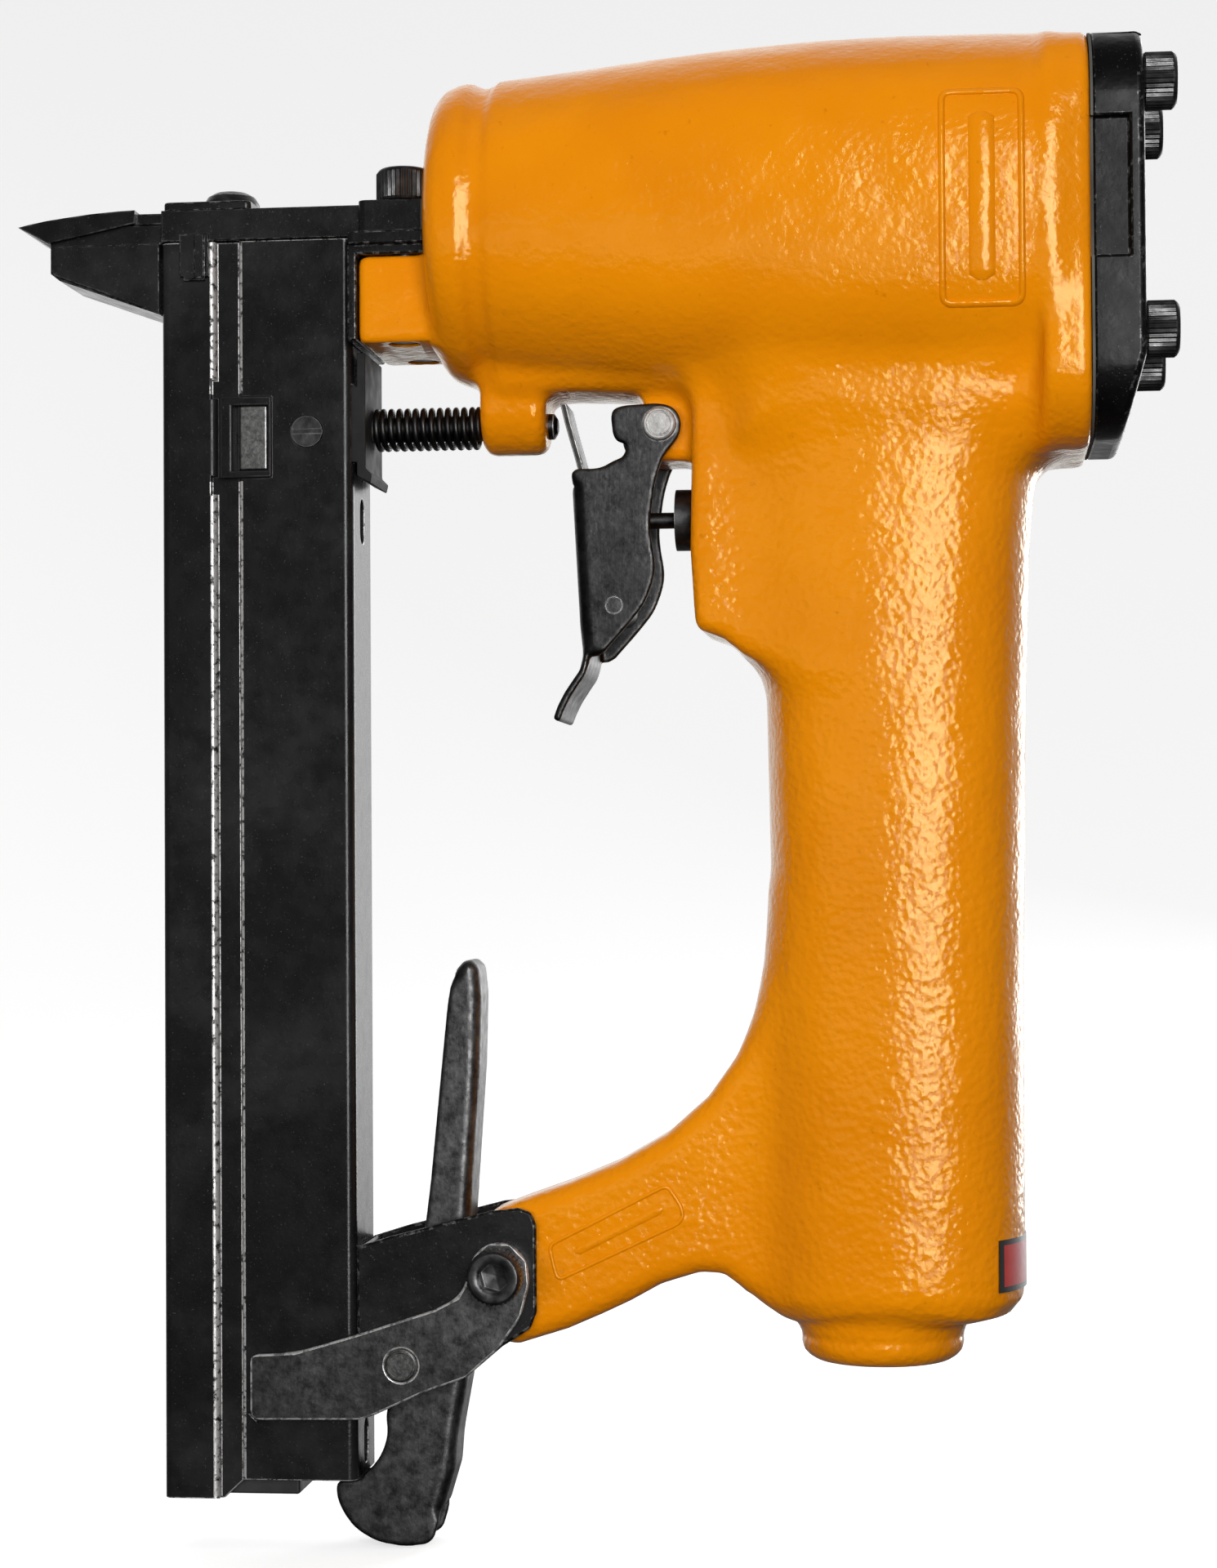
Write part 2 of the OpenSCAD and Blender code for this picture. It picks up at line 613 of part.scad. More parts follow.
module arm_bolt() color(black) translate([bolt_x, -9.6, bolt_z]) rotate([90, 0, 0]) {
    socket_head(m5_head, 5, 4);
    translate([0, 0, -24]) cylinder(r = m5, h = 24.1, $fn = 32);
}

module arm_nut() color(black) difference() {
    translate([bolt_x, 9.6, bolt_z]) rotate([-90, 0, 0]) cylinder(r = 4.6, h = 4, $fn = 6);
    bar_y(bolt_x, bolt_z, 9, 15, m5_fit);
}

module latch_pin() color(steel) bar_y(latch_x, latch_z, -10.1, 10.1, m5);

module lever_flank()
    polygon([[-64, 61], [-65.4, 59.4], [-65.9, 57.2], [-66.4, 54.3], [-67.3, 45.5],
        [-69.2, 26.7], [-70.6, 16], [-74.2, 6], [-76.4, 2.4], [-76.8, -1.6], [-75.2, -5.4],
        [-76.4, -8.6], [-76, -11.6], [-76.8, -14.4], [-78.2, -16.6], [-79.9, -18],
        [-80.2, -18.9], [-84.1, -18.9], [-84.1, -21.6], [-82.9, -24.2], [-81, -26.5], [-77.8, -28.3],
        [-73.4, -29], [-69.2, -28.4], [-67.6, -23.2], [-65.7, -16.9], [-65.3, -11.9],
        [-63.7, -3.2], [-63.2, 20.6], [-61.5, 44.9], [-61.2, 55.8], [-61.6, 60], [-62.8, 61.2]]);

module latch_lever() color(blued) difference() {
    union() {
        for (s = [-1, 1]) translate([0, s * 4.5 + 0.6, 0]) rotate([90, 0, 0])
            linear_extrude(height = 1.2) lever_flank();
        side([[-63, 61.2], [-61.6, 60], [-61.2, 55.8], [-61.5, 44.9], [-63.2, 20.6],
            [-63.7, -3.2], [-65.3, -11.9], [-65.7, -16.9], [-67.6, -23.2], [-68.8, -22.8],
            [-66.9, -16.6], [-66.5, -11.7], [-64.9, -3], [-64.4, 20.7], [-62.7, 45],
            [-62.4, 56], [-62.8, 59.4]], -5.1, 5.1);
        side([[-64, 61], [-65.4, 59.4], [-64.6, 58.8], [-63.4, 59.8], [-62.6, 59.4],
            [-62, 60.6], [-62.8, 61.2]], -5.1, 5.1);
    }
    bar_y(latch_x, latch_z, -10, 10, 2.56);
}

module latch_spring() color(steel) {
    difference() {
        bar_y(latch_x, latch_z, -3, 3, 3.5);
        bar_y(latch_x, latch_z, -4, 4, 2.7);
    }
    translate([latch_x - 3.1, 2.5, latch_z]) rotate([0, -10.4, 0]) cylinder(r = 0.4, h = 13.5, $fn = 16);
}

module grip_label() color([0.8, 0.1, 0.1]) intersection() {
    difference() {
        translate([grip_x, 0, 11.6]) cylinder(r = 19.1, h = 7.8, $fn = 96);
        translate([grip_x, 0, 10]) cylinder(r1 = 18.89, r2 = 18.97, h = 12, $fn = 96);
    }
    translate([grip_x, 0, 10]) linear_extrude(height = 12)
        polygon([[0, 0], [30, -24], [30, 24]]);
}

gun_body();
cylinder_cap();
cap_gasket();
cap_screws();
cylinder_sleeve();
sleeve_orings();
bumper();
piston();
piston_oring();
driver_pin();
driver_blade();
head_valve();
head_valve_oring();
head_valve_spring();
nose_plate();
nose_rear_plate();
head_bracket();
nose_screws();
cover_plate();
button_screw();
contact_foot();
safety_yoke();
safety_rod();
safety_spring();
trigger();
trigger_pin();
idle_lever();
idle_pin();
valve_housing();
valve_oring();
valve_stem();
valve_spring();
magazine_channel();
channel_keys();
channel_rivets();
magazine_cover();
staple_rail();
rail_end_block();
pusher();
pusher_rod();
pusher_spring();
arm_bracket();
side_links();
arm_bolt();
arm_nut();
latch_pin();
latch_lever();
latch_spring();
grip_label();
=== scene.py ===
# Fine-wire pneumatic stapler: looks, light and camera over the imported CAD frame.
import json
import math

import bmesh
import bpy
import numpy as np
from mathutils import Matrix, Vector
from mathutils.bvhtree import BVHTree


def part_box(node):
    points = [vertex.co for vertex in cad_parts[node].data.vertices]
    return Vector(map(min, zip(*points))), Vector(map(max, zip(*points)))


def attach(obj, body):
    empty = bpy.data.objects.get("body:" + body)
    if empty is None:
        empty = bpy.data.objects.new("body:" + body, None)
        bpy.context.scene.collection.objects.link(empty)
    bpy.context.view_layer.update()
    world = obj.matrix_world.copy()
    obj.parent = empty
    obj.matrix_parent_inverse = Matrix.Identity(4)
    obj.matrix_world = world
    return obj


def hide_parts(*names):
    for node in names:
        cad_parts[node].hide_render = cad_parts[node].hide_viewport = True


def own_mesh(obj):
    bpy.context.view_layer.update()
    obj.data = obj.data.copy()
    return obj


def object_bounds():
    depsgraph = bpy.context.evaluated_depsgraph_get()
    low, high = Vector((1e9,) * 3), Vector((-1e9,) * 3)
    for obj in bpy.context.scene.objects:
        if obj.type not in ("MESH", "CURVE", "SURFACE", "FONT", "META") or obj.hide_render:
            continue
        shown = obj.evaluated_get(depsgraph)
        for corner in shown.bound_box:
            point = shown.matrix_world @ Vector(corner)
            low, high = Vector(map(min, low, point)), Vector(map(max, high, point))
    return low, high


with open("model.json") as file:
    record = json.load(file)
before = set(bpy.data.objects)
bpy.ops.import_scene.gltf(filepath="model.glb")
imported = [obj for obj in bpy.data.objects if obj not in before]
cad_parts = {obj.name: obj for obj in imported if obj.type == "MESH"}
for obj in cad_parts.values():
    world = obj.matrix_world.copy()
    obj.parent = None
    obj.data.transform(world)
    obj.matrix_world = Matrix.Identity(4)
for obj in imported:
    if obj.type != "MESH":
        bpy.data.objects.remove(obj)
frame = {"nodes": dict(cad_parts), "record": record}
cad_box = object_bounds()
nodes = frame["nodes"]
scene = bpy.context.scene
MM = 0.001
# Millimetres. Cross pins and bolts are given as (x, z), heads and holes as radii.
AXIS_Z, VALVE_Z, ROD_Z, HANDLE_X = 174, 129, 144, 2.8
TRIGGER_PIN, IDLE_PIN, ARM_BOLT, LATCH_PIN = (-32.6, 142.9), (-39.8, 115.3), (-58.1, 13.5), (-73.1, -0.5)
M5_HEAD, M5_TALL, M5_HOLE = 4.25, 5.0, 2.52


# ---------------------------------------------------------------- materials
class Shader:
    """A material's node tree, with short calls for the nodes used here."""

    def __init__(self, name, **sockets):
        self.mat = bpy.data.materials.new(name)
        self.mat.use_nodes = True
        self.tree = self.mat.node_tree
        self.tree.nodes.clear()
        self.out = self.tree.nodes.new("ShaderNodeOutputMaterial")
        self.bsdf = self.tree.nodes.new("ShaderNodeBsdfPrincipled")
        self.tree.links.new(self.bsdf.outputs[0], self.out.inputs[0])
        for key, value in sockets.items():
            self.bsdf.inputs[key.replace("_", " ")].default_value = value
        self.coord = self.tree.nodes.new("ShaderNodeTexCoord").outputs["Object"]

    def put(self, socket, value):
        if isinstance(value, bpy.types.NodeSocket):
            self.tree.links.new(value, socket)
        else:
            socket.default_value = value

    def node(self, kind, inputs, **props):
        n = self.tree.nodes.new(kind)
        for key, value in props.items():
            setattr(n, key, value)
        for key, value in inputs.items():
            self.put(n.inputs[key], value)
        return n

    def stretched(self, scale):
        return self.node("ShaderNodeMapping", {"Vector": self.coord, "Scale": scale}).outputs[0]

    def noise(self, scale, detail=2.0, rough=0.5, vector=None):
        return self.node("ShaderNodeTexNoise", {"Vector": vector or self.coord, "Scale": scale,
                                                "Detail": detail, "Roughness": rough}).outputs[0]

    def cells(self, scale, smooth):
        return self.node("ShaderNodeTexVoronoi", {"Vector": self.coord, "Scale": scale,
                                                  "Smoothness": smooth},
                         feature="SMOOTH_F1").outputs["Distance"]

    def ramp(self, value, low, high, to_low=0.0, to_high=1.0):
        return self.node("ShaderNodeMapRange", {"Value": value, "From Min": low, "From Max": high,
                                                "To Min": to_low, "To Max": to_high}).outputs[0]

    def math(self, op, a, b=0.0):
        return self.node("ShaderNodeMath", {0: a, 1: b}, operation=op).outputs[0]

    def mix(self, factor, a, b):
        n = self.node("ShaderNodeMix", {}, data_type="RGBA")
        self.put(n.inputs[0], factor)
        self.put(n.inputs[6], a)
        self.put(n.inputs[7], b)
        return n.outputs[2]

    def bump(self, height, distance, under=None, strength=1.0):
        inputs = {"Height": height, "Distance": distance, "Strength": strength}
        if under is not None:
            inputs["Normal"] = under
        return self.node("ShaderNodeBump", inputs).outputs[0]

    def edges(self, radius, low=0.02, high=0.22):
        """1 on sharp outer edges, 0 on flats."""
        round_n = self.node("ShaderNodeBevel", {"Radius": radius}, samples=4).outputs[0]
        flat = self.tree.nodes.new("ShaderNodeNewGeometry").outputs["Normal"]
        dot = self.node("ShaderNodeVectorMath", {0: round_n, 1: flat}, operation="DOT_PRODUCT")
        return self.ramp(self.math("SUBTRACT", 1.0, dot.outputs["Value"]), low, high)

    def set(self, socket, value):
        self.put(self.bsdf.inputs[socket], value)
        return self


def orange_paint():
    s = Shader("orange_paint", Coat_Weight=0.16, Coat_Roughness=0.05, Specular_Tint=(0.86, 0.92, 0.42, 1),
               Coat_Tint=(1.0, 0.92, 0.7, 1))
    drift = s.ramp(s.noise(38, 3), 0.35, 0.65)
    grime = s.ramp(s.noise(620, 4, 0.6), 0.66, 0.74)
    base = s.mix(drift, (0.76, 0.232, 0.0014, 1), (0.83, 0.268, 0.0016, 1))
    s.set("Base Color", s.mix(s.math("MULTIPLY", grime, 0.35), base, (0.42, 0.11, 0.001, 1)))
    height = s.node("ShaderNodeSeparateXYZ", {0: s.coord}).outputs[2]
    grain = s.ramp(height, 0.125, 0.16, 1.0, 0.5)
    cast = s.bump(s.noise(150, 1.5), 0.00030)
    peel = s.bump(s.cells(900, 0.85), 0.00014, cast, grain)
    s.set("Normal", s.bump(s.noise(1500, 2), 0.00005, peel))
    s.set("Roughness", s.ramp(s.noise(260, 3), 0.3, 0.7, 0.13, 0.24))
    s.put(s.bsdf.inputs["Coat Normal"], s.bump(s.cells(1050, 0.8), 0.00012, cast, grain))
    return s.mat


def black_coat(name="black_coat", tone=0.0062, rough=0.26, grain=1500, depth=0.00003, scuff_and_sheen_level=0.5, gloss=0.32):
    s = Shader(name, Coat_Weight=0.2 * gloss / 0.5, Coat_Roughness=0.12, Specular_IOR_Level=gloss)
    specks = s.ramp(s.noise(3400, 1), 0.70, 0.76)
    smear = s.ramp(s.noise(45, 5, 0.65), 0.48, 0.74)
    base = s.mix(s.math("MULTIPLY", smear, 0.6), (tone, tone, tone * 1.06, 1),
                 (tone * 5, tone * 5, tone * 5.1, 1))
    base = s.mix(s.math("MULTIPLY", specks, 0.3), base, (0.14, 0.14, 0.14, 1))
    # Lighter at random along sharp edges: scuffing, and a painted highlight along the edges.
    edge_scuffs_and_sheen = s.math("MULTIPLY", s.edges(0.0005), s.ramp(s.noise(420, 3), 0.42, 0.62, 0.0, scuff_and_sheen_level))
    s.set("Base Color", s.mix(edge_scuffs_and_sheen, base, (0.22, 0.215, 0.21, 1)))
    s.set("Roughness", s.ramp(s.noise(300, 4), 0.3, 0.7, rough - 0.05, rough + 0.1))
    s.set("Normal", s.bump(s.noise(grain, 2), depth, s.bump(s.noise(60, 1), 0.00004)))
    return s.mat


def blued_steel(name="blued_steel", dark=0.03, light=0.10, rough=0.36):
    """Tempered sheet: dark, finely mottled, scuffed bright along its edges, with a painted highlight there
    too.
    """
    s = Shader(name, Metallic=1.0)
    mottle = s.ramp(s.noise(420, 6, 0.75), 0.36, 0.66)
    cloud = s.ramp(s.noise(80, 3), 0.35, 0.7, 0.55, 1.0)
    base = s.mix(s.math("MULTIPLY", mottle, cloud), (dark, dark, dark * 1.03, 1),
                 (light, light * 0.99, light * 0.98, 1))
    # Lighter along sharp edges: scuffing, and a painted highlight along the edges.
    edge_scuffs_and_sheen = s.math("MULTIPLY", s.edges(0.0005), s.ramp(s.noise(500, 3), 0.3, 0.55, 0.3, 0.95))
    s.set("Base Color", s.mix(edge_scuffs_and_sheen, base, (0.56, 0.55, 0.54, 1)))
    scratch = s.noise(260, 3, 0.6, s.stretched((9.0, 9.0, 1.0)))
    s.set("Roughness", s.ramp(s.noise(510, 5, 0.7), 0.3, 0.7, rough - 0.08, rough + 0.14))
    s.set("Normal", s.bump(scratch, 0.000012, s.bump(s.noise(1400, 3), 0.00003)))
    return s.mat


def oxide():
    s = Shader("black_oxide", Metallic=0.9)
    base = s.mix(s.ramp(s.noise(500, 3), 0.35, 0.7), (0.045, 0.045, 0.047, 1), (0.12, 0.12, 0.12, 1))
    # Lighter along sharp edges: scuffing, and a painted highlight along the edges.
    edge_scuffs_and_sheen = s.math("MULTIPLY", s.edges(0.0003, 0.03, 0.3), s.ramp(s.noise(900, 2), 0.3, 0.55, 0.3, 0.9))
    s.set("Base Color", s.mix(edge_scuffs_and_sheen, base, (0.40, 0.39, 0.38, 1)))
    s.set("Roughness", s.ramp(s.noise(700, 3), 0.3, 0.7, 0.28, 0.46))
    s.set("Normal", s.bump(s.noise(2600, 2), 0.000015))
    return s.mat


def metal(name, tone, rough, squeeze, depth=0.000015, mottle=150, spread=0.8, bare=1.0):
    """Bright metal with fine lines; squeeze stretches the lines along one axis."""
    s = Shader(name, Metallic=bare)
    lines = s.noise(300, 4, 0.7, s.stretched(squeeze))
    dark = tuple(c * spread for c in tone) + (1,)
    s.set("Base Color", s.mix(s.ramp(s.noise(mottle, 4, 0.65), 0.35, 0.65), dark, tuple(tone) + (1,)))
    s.set("Roughness", s.ramp(lines, 0.3, 0.7, rough - 0.06, rough + 0.08))
    s.set("Normal", s.bump(lines, depth))
    return s.mat


def polymer(name, low, high, rough, grain, depth, clear=0.0):
    s = Shader(name, Transmission_Weight=clear)
    s.set("Base Color", s.mix(s.ramp(s.noise(90, 3), 0.35, 0.65), low + (1,), high + (1,)))
    s.set("Roughness", s.ramp(s.noise(400, 3), 0.3, 0.7, rough - 0.06, rough + 0.08))
    s.set("Normal", s.bump(s.noise(grain, 2), depth))
    return s.mat


def edge_scuff_and_highlight(name, dark, bright, cover, spare=None):
    """Edge colour of a painted or blued sheet, light in patches as scuffing and as a painted highlight, but
    not within the heights spared.
    """
    s = Shader(name, Metallic=0.6)
    # Light patches on the edge: scuffing, and a painted highlight.
    scuff_and_highlight_mask = s.ramp(s.noise(900, 4, 0.7), 0.62 - cover / 2, 0.72 - cover / 2)
    if spare:
        height = s.node("ShaderNodeSeparateXYZ", {0: s.coord}).outputs[2]
        away = s.math("ABSOLUTE", s.math("SUBTRACT", height, (spare[0] + spare[1]) / 2))
        scuff_and_highlight_mask = s.math("MULTIPLY", scuff_and_highlight_mask, s.math("GREATER_THAN", away, (spare[1] - spare[0]) / 2))
    s.set("Base Color", s.mix(scuff_and_highlight_mask, (dark, dark, dark, 1), (bright, bright * 0.98, bright * 0.96, 1)))
    s.set("Roughness", s.ramp(s.noise(700, 3), 0.3, 0.7, 0.25, 0.45))
    s.set("Normal", s.bump(s.noise(2200, 2), 0.00002))
    return s.mat


def red_film():
    """Plain red label with a dark printed border and no marks."""
    s = Shader("red_film", Coat_Weight=0.6, Coat_Roughness=0.12)
    xyz = s.node("ShaderNodeSeparateXYZ", {0: s.coord}).outputs
    lo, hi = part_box("grip_label")
    up = s.math("LESS_THAN", s.math("ABSOLUTE", s.math("SUBTRACT", xyz[2], (lo.z + hi.z) / 2)),
                (hi.z - lo.z) / 2 - 0.0008)
    across = s.math("LESS_THAN", s.math("ABSOLUTE", xyz[1]), hi.y - 0.0009)
    fade = s.mix(s.ramp(s.noise(300, 3), 0.3, 0.7), (0.50, 0.012, 0.012, 1), (0.62, 0.02, 0.018, 1))
    s.set("Base Color", s.mix(s.math("MULTIPLY", up, across), (0.012, 0.012, 0.012, 1), fade))
    s.set("Roughness", s.ramp(s.noise(500, 2), 0.3, 0.7, 0.28, 0.4))
    s.set("Normal", s.bump(s.noise(1200, 2), 0.00001))
    return s.mat


MATERIALS = {
    "orange_paint": orange_paint(),
    "black_coat": black_coat(),
    "black_cast": black_coat("black_cast", 0.002, 0.38, 700, 0.00009, 0.35, 0.16),
    "black_oxide": oxide(),
    "blued_steel": blued_steel(),
    "tempered_steel": blued_steel("tempered_steel", 0.055, 0.24, 0.4),
    "matte_black": polymer("matte_black", (0.006, 0.006, 0.006), (0.012, 0.012, 0.012), 0.7, 900,
                           0.00003),
    "bright_steel": metal("bright_steel", (0.66, 0.65, 0.63), 0.3, (3.0, 3.0, 3.0), 0.00003, 800, 0.6,
                          0.65),
    "ground_steel": metal("ground_steel", (0.36, 0.355, 0.35), 0.34, (5.0, 5.0, 5.0), 0.00003, 1600, 0.5),
    "aluminium": metal("aluminium", (0.72, 0.72, 0.73), 0.30, (16.0, 1.0, 1.0)),
    "black_rubber": polymer("black_rubber", (0.012, 0.012, 0.012), (0.028, 0.027, 0.026), 0.55, 2200,
                            0.00002),
    "amber_bumper": polymer("amber_bumper", (0.42, 0.17, 0.02), (0.55, 0.26, 0.04), 0.3, 900, 0.00002,
                            0.25),
    "black_nylon": polymer("black_nylon", (0.016, 0.016, 0.017), (0.03, 0.03, 0.03), 0.42, 1600, 0.00002),
    "fibre": polymer("fibre", (0.06, 0.06, 0.055), (0.12, 0.115, 0.10), 0.8, 3000, 0.00004),
    "red_film": red_film(),
}
# Bevelled edge colours: scuffing, and a painted highlight along the edges.
EDGE_SCUFF_AND_HIGHLIGHT = {
    "black_coat": edge_scuff_and_highlight("black_coat_edge", 0.012, 0.16, 0.25),
    "blued_steel": edge_scuff_and_highlight("blued_steel_edge", 0.12, 0.5, 0.5),
    "tempered_steel": edge_scuff_and_highlight("tempered_steel_edge", 0.2, 0.6, 0.4),
    "black_cast": edge_scuff_and_highlight("black_cast_edge", 0.008, 0.12, 0.15),
    "black_oxide": edge_scuff_and_highlight("black_oxide_edge", 0.06, 0.3, 0.4),
}
# Magazine folds: a painted highlight along the rolled edges, broken up in places and kept off the key-frame
# heights.
PAINTED_FOLD_HIGHLIGHT = edge_scuff_and_highlight("painted_fold_highlight_edge", 0.03, 0.6, 0.45, (0.1355, 0.1492))
for row in frame["record"]["subparts"]:
    for s in nodes[row["node"]].material_slots:
        s.material = MATERIALS[row["material_slot"]]
SLOT = {row["node"]: row["material_slot"] for row in frame["record"]["subparts"]}
BODY = {n: b for b, members in frame["record"]["behaviour"]["bodies"].items() for n in members}


# ---------------------------------------------------------------- mesh helpers
def piece(name, verts, faces, slot, body, stands_for=(), sharp=32.0, unit=MM):
    """A new object from points in millimetres, riding on a CAD body."""
    mesh = bpy.data.meshes.new(name)
    mesh.from_pydata([tuple(c * unit for c in v) for v in verts], [], [tuple(f) for f in faces])
    mesh.validate()
    return finish_piece(name, mesh, slot, body, stands_for, sharp)


def finish_piece(name, mesh, slot, body, stands_for=(), sharp=32.0):
    mesh.shade_smooth()
    mesh.set_sharp_from_angle(angle=math.radians(sharp))
    mesh.materials.clear()
    mesh.materials.append(MATERIALS[slot])
    obj = bpy.data.objects.new(name, mesh)
    scene.collection.objects.link(obj)
    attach(obj, body)
    if stands_for:
        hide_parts(*stands_for)
    return obj


def edged(node, width, rolled=0.0, rule=None, angle=28.0):
    """The CAD node's own shape with rounded edges; the edges that rule picks are rolled wider."""
    bm = bmesh.new()
    bm.from_mesh(nodes[node].data)
    bmesh.ops.remove_doubles(bm, verts=bm.verts, dist=2e-6)
    bmesh.ops.dissolve_limit(bm, angle_limit=math.radians(0.4), verts=bm.verts, edges=bm.edges)
    bmesh.ops.recalc_face_normals(bm, faces=bm.faces)
    widest = max(width, rolled)
    weight = bm.edges.layers.float.new("bevel_weight_edge")
    for e in bm.edges:
        if len(e.link_faces) == 2 and e.calc_face_angle() > math.radians(angle):
            a, b = (v.co / MM for v in e.verts)
            facing = [f.normal for f in e.link_faces]
            e[weight] = 1.0 if rule and rule((a + b) / 2, b - a, facing) else width / widest
    mesh = bpy.data.meshes.new(node + "_edged")
    bm.to_mesh(mesh)
    bm.free()
    obj = finish_piece(node + "_edged", mesh, SLOT[node], BODY[node], (node,), 180)
    mod = obj.modifiers.new("edges", "BEVEL")
    mod.width = widest * MM
    mod.segments = 4 if rolled else 2
    mod.limit_method = "WEIGHT"
    mod.use_clamp_overlap = mod.loop_slide = False
    # Bevelled faces take an edge colour: scuffing with a painted highlight, on the magazine a painted
    # highlight alone.
    if SLOT[node] in EDGE_SCUFF_AND_HIGHLIGHT:
        obj.data.materials.append(PAINTED_FOLD_HIGHLIGHT if node.startswith("magazine") else EDGE_SCUFF_AND_HIGHLIGHT[SLOT[node]])
        mod.material = 1
    even = obj.modifiers.new("shading", "WEIGHTED_NORMAL")
    even.keep_sharp = False
    return obj


def frame_axes(axis):
    """Two directions square to an axis."""
    w = Vector(axis).normalized()
    u = w.orthogonal().normalized()
    return u, w.cross(u), w


def stack(rings, centre, axis, count=72):
    """Rings of (radius function or number, height) joined into one closed shell."""
    u, v, w = frame_axes(axis)
    c = Vector(centre)
    verts, faces = [], []
    for radius, height in rings:
        for i in range(count):
            a = 2 * math.pi * i / count
            r = radius(i, a) if callable(radius) else radius
            verts.append(c + u * r * math.cos(a) + v * r * math.sin(a) + w * height)
    for k in range(len(rings) - 1):
        for i in range(count):
            j = (i + 1) % count
            faces.append((k * count + i, k * count + j, (k + 1) * count + j, (k + 1) * count + i))
    faces.append(tuple(range(count - 1, -1, -1)))
    faces.append(tuple((len(rings) - 1) * count + i for i in range(count)))
    return verts, faces


def knurl(outer, depth):
    return lambda i, a: outer - (depth if i % 2 else 0.0)


def hexagon(across):
    def radius(i, a):
        part = (a % (math.pi / 3)) - math.pi / 6
        return across / 2 / math.cos(part)
    return radius


def screw_shell(centre, axis, shank):
    """A knurled M5 socket screw with its head's underside at centre."""
    head, tall, hexa = M5_HEAD, M5_TALL, 4.0
    tooth = knurl(head, 0.24)
    rings = [(head - 0.4, 0.0), (head - 0.26, 0.12), (tooth, 0.4), (tooth, tall - 0.75),
             (head - 0.2, tall - 0.5), (head - 0.3, tall - 0.3), (head - 0.62, tall - 0.03),
             (head - 0.8, tall), (hexa / 2 + 0.75, tall), (hexa / 2 + 0.42, tall - 0.12),
             (hexagon(hexa), tall - 0.3), (hexagon(hexa), tall * 0.42), (0.05, tall * 0.36)]
    verts, faces = stack(rings, centre, axis)
    low = [(1.9, -shank), (2.45, -shank + 0.6), (2.48, -0.9), (2.3, 0.05)]
    more, tris = stack(low, centre, axis)
    base = len(verts)
    return verts + more, faces + [tuple(base + i for i in f) for f in tris]


def pin_shell(node, radius, groove):
    """A turned pin across the tool, with a ring cut in each end."""
    lo, hi = (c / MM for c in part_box(node))
    half, mid = hi.y, (lo + hi) / 2
    end = [(groove, half), (groove + 0.1, half - 0.12), (groove + 0.22, half - 0.12), (groove + 0.32, half),
           (radius - 0.3, half), (radius - 0.08, half - 0.12), (radius, half - 0.36)]
    rings = [(0.02, -half)] + [(r, -h) for r, h in end] + end[::-1] + [(0.02, half)]
    return stack(rings, (mid.x, 0, mid.z), (0, 1, 0))


def merge(shells):
    verts, faces = [], []
    for v, f in shells:
        base = len(verts)
        verts += v
        faces += [tuple(base + i for i in q) for q in f]
    return verts, faces


def coil_spring(name, node, start, end, mean, wire, turns, sides=10, steps=28):
    """A wound compression spring with closed ends along X or Z."""
    start, end = Vector(start), Vector(end)
    u, v, w = frame_axes(end - start)
    length = (end - start).length
    count = int(turns * steps)
    path = []
    for i in range(count + 1):
        t = turns * i / count
        live = min(max((t - 1.0) / (turns - 2.0), 0.0), 1.0)
        ends = min(t, 1.0) + max(t - turns + 1.0, 0.0)
        z = wire / 2 + ends * wire + live * (length - 3.0 * wire)
        a = 2 * math.pi * t
        path.append(start + u * mean * math.cos(a) + v * mean * math.sin(a) + w * z)
    verts, faces = [], []
    for i, p in enumerate(path):
        tangent = (path[min(i + 1, count)] - path[max(i - 1, 0)]).normalized()
        out = (p - start) - w * (p - start).dot(w)
        out = (out - tangent * out.dot(tangent)).normalized()
        side = tangent.cross(out)
        for k in range(sides):
            a = 2 * math.pi * k / sides
            verts.append(p + out * (wire / 2 * math.cos(a)) + side * (wire / 2 * math.sin(a)))
    for i in range(count):
        for k in range(sides):
            m = (k + 1) % sides
            faces.append((i * sides + k, i * sides + m, (i + 1) * sides + m, (i + 1) * sides + k))
    faces.append(tuple(range(sides - 1, -1, -1)))
    faces.append(tuple(count * sides + k for k in range(sides)))
    return piece(name, verts, faces, SLOT[node], BODY[node], (node,), 80)


# ---------------------------------------------------------------- casting
def polygon_field(px, py, points):
    """Signed distance to a closed outline."""
    pts = np.asarray(points, np.float32)
    best = np.full(np.broadcast(px, py).shape, 1e9, np.float32)
    sign = np.ones(best.shape, bool)
    for (xi, yi), (xj, yj) in zip(pts, np.roll(pts, 1, axis=0)):
        ex, ey = xj - xi, yj - yi
        wx, wy = px - xi, py - yi
        t = np.clip((wx * ex + wy * ey) / (ex * ex + ey * ey), 0, 1)
        best = np.minimum(best, (wx - ex * t) ** 2 + (wy - ey * t) ** 2)
        a, b, c = py >= yi, py < yj, ex * wy > ey * wx
        sign ^= (a & b & c) | (~a & ~b & ~c)
    return np.where(sign, np.sqrt(best), -np.sqrt(best))


def join(a, b, k):
    h = np.maximum(k - np.abs(a - b), 0) / k
    return np.minimum(a, b) - h * h * k / 4


def cross(a, b, k):
    return -join(-a, -b, k)


def meet(flat, depth, r):
    """Outline field and thickness field met with a rounded edge of radius r."""
    a, b = flat + r, depth + r
    return np.minimum(np.maximum(a, b), 0) + np.hypot(np.maximum(a, 0), np.maximum(b, 0)) - r


def block(p, lo, hi, r):
    """Box with its edges rounded to r."""
    q = [np.abs(c - (l + h) / 2) - (h - l) / 2 + r for c, l, h in zip(p, lo, hi)]
    out = np.sqrt(sum(np.maximum(c, 0) ** 2 for c in q))
    return out + np.minimum(np.maximum(np.maximum(q[0], q[1]), q[2]), 0) - r


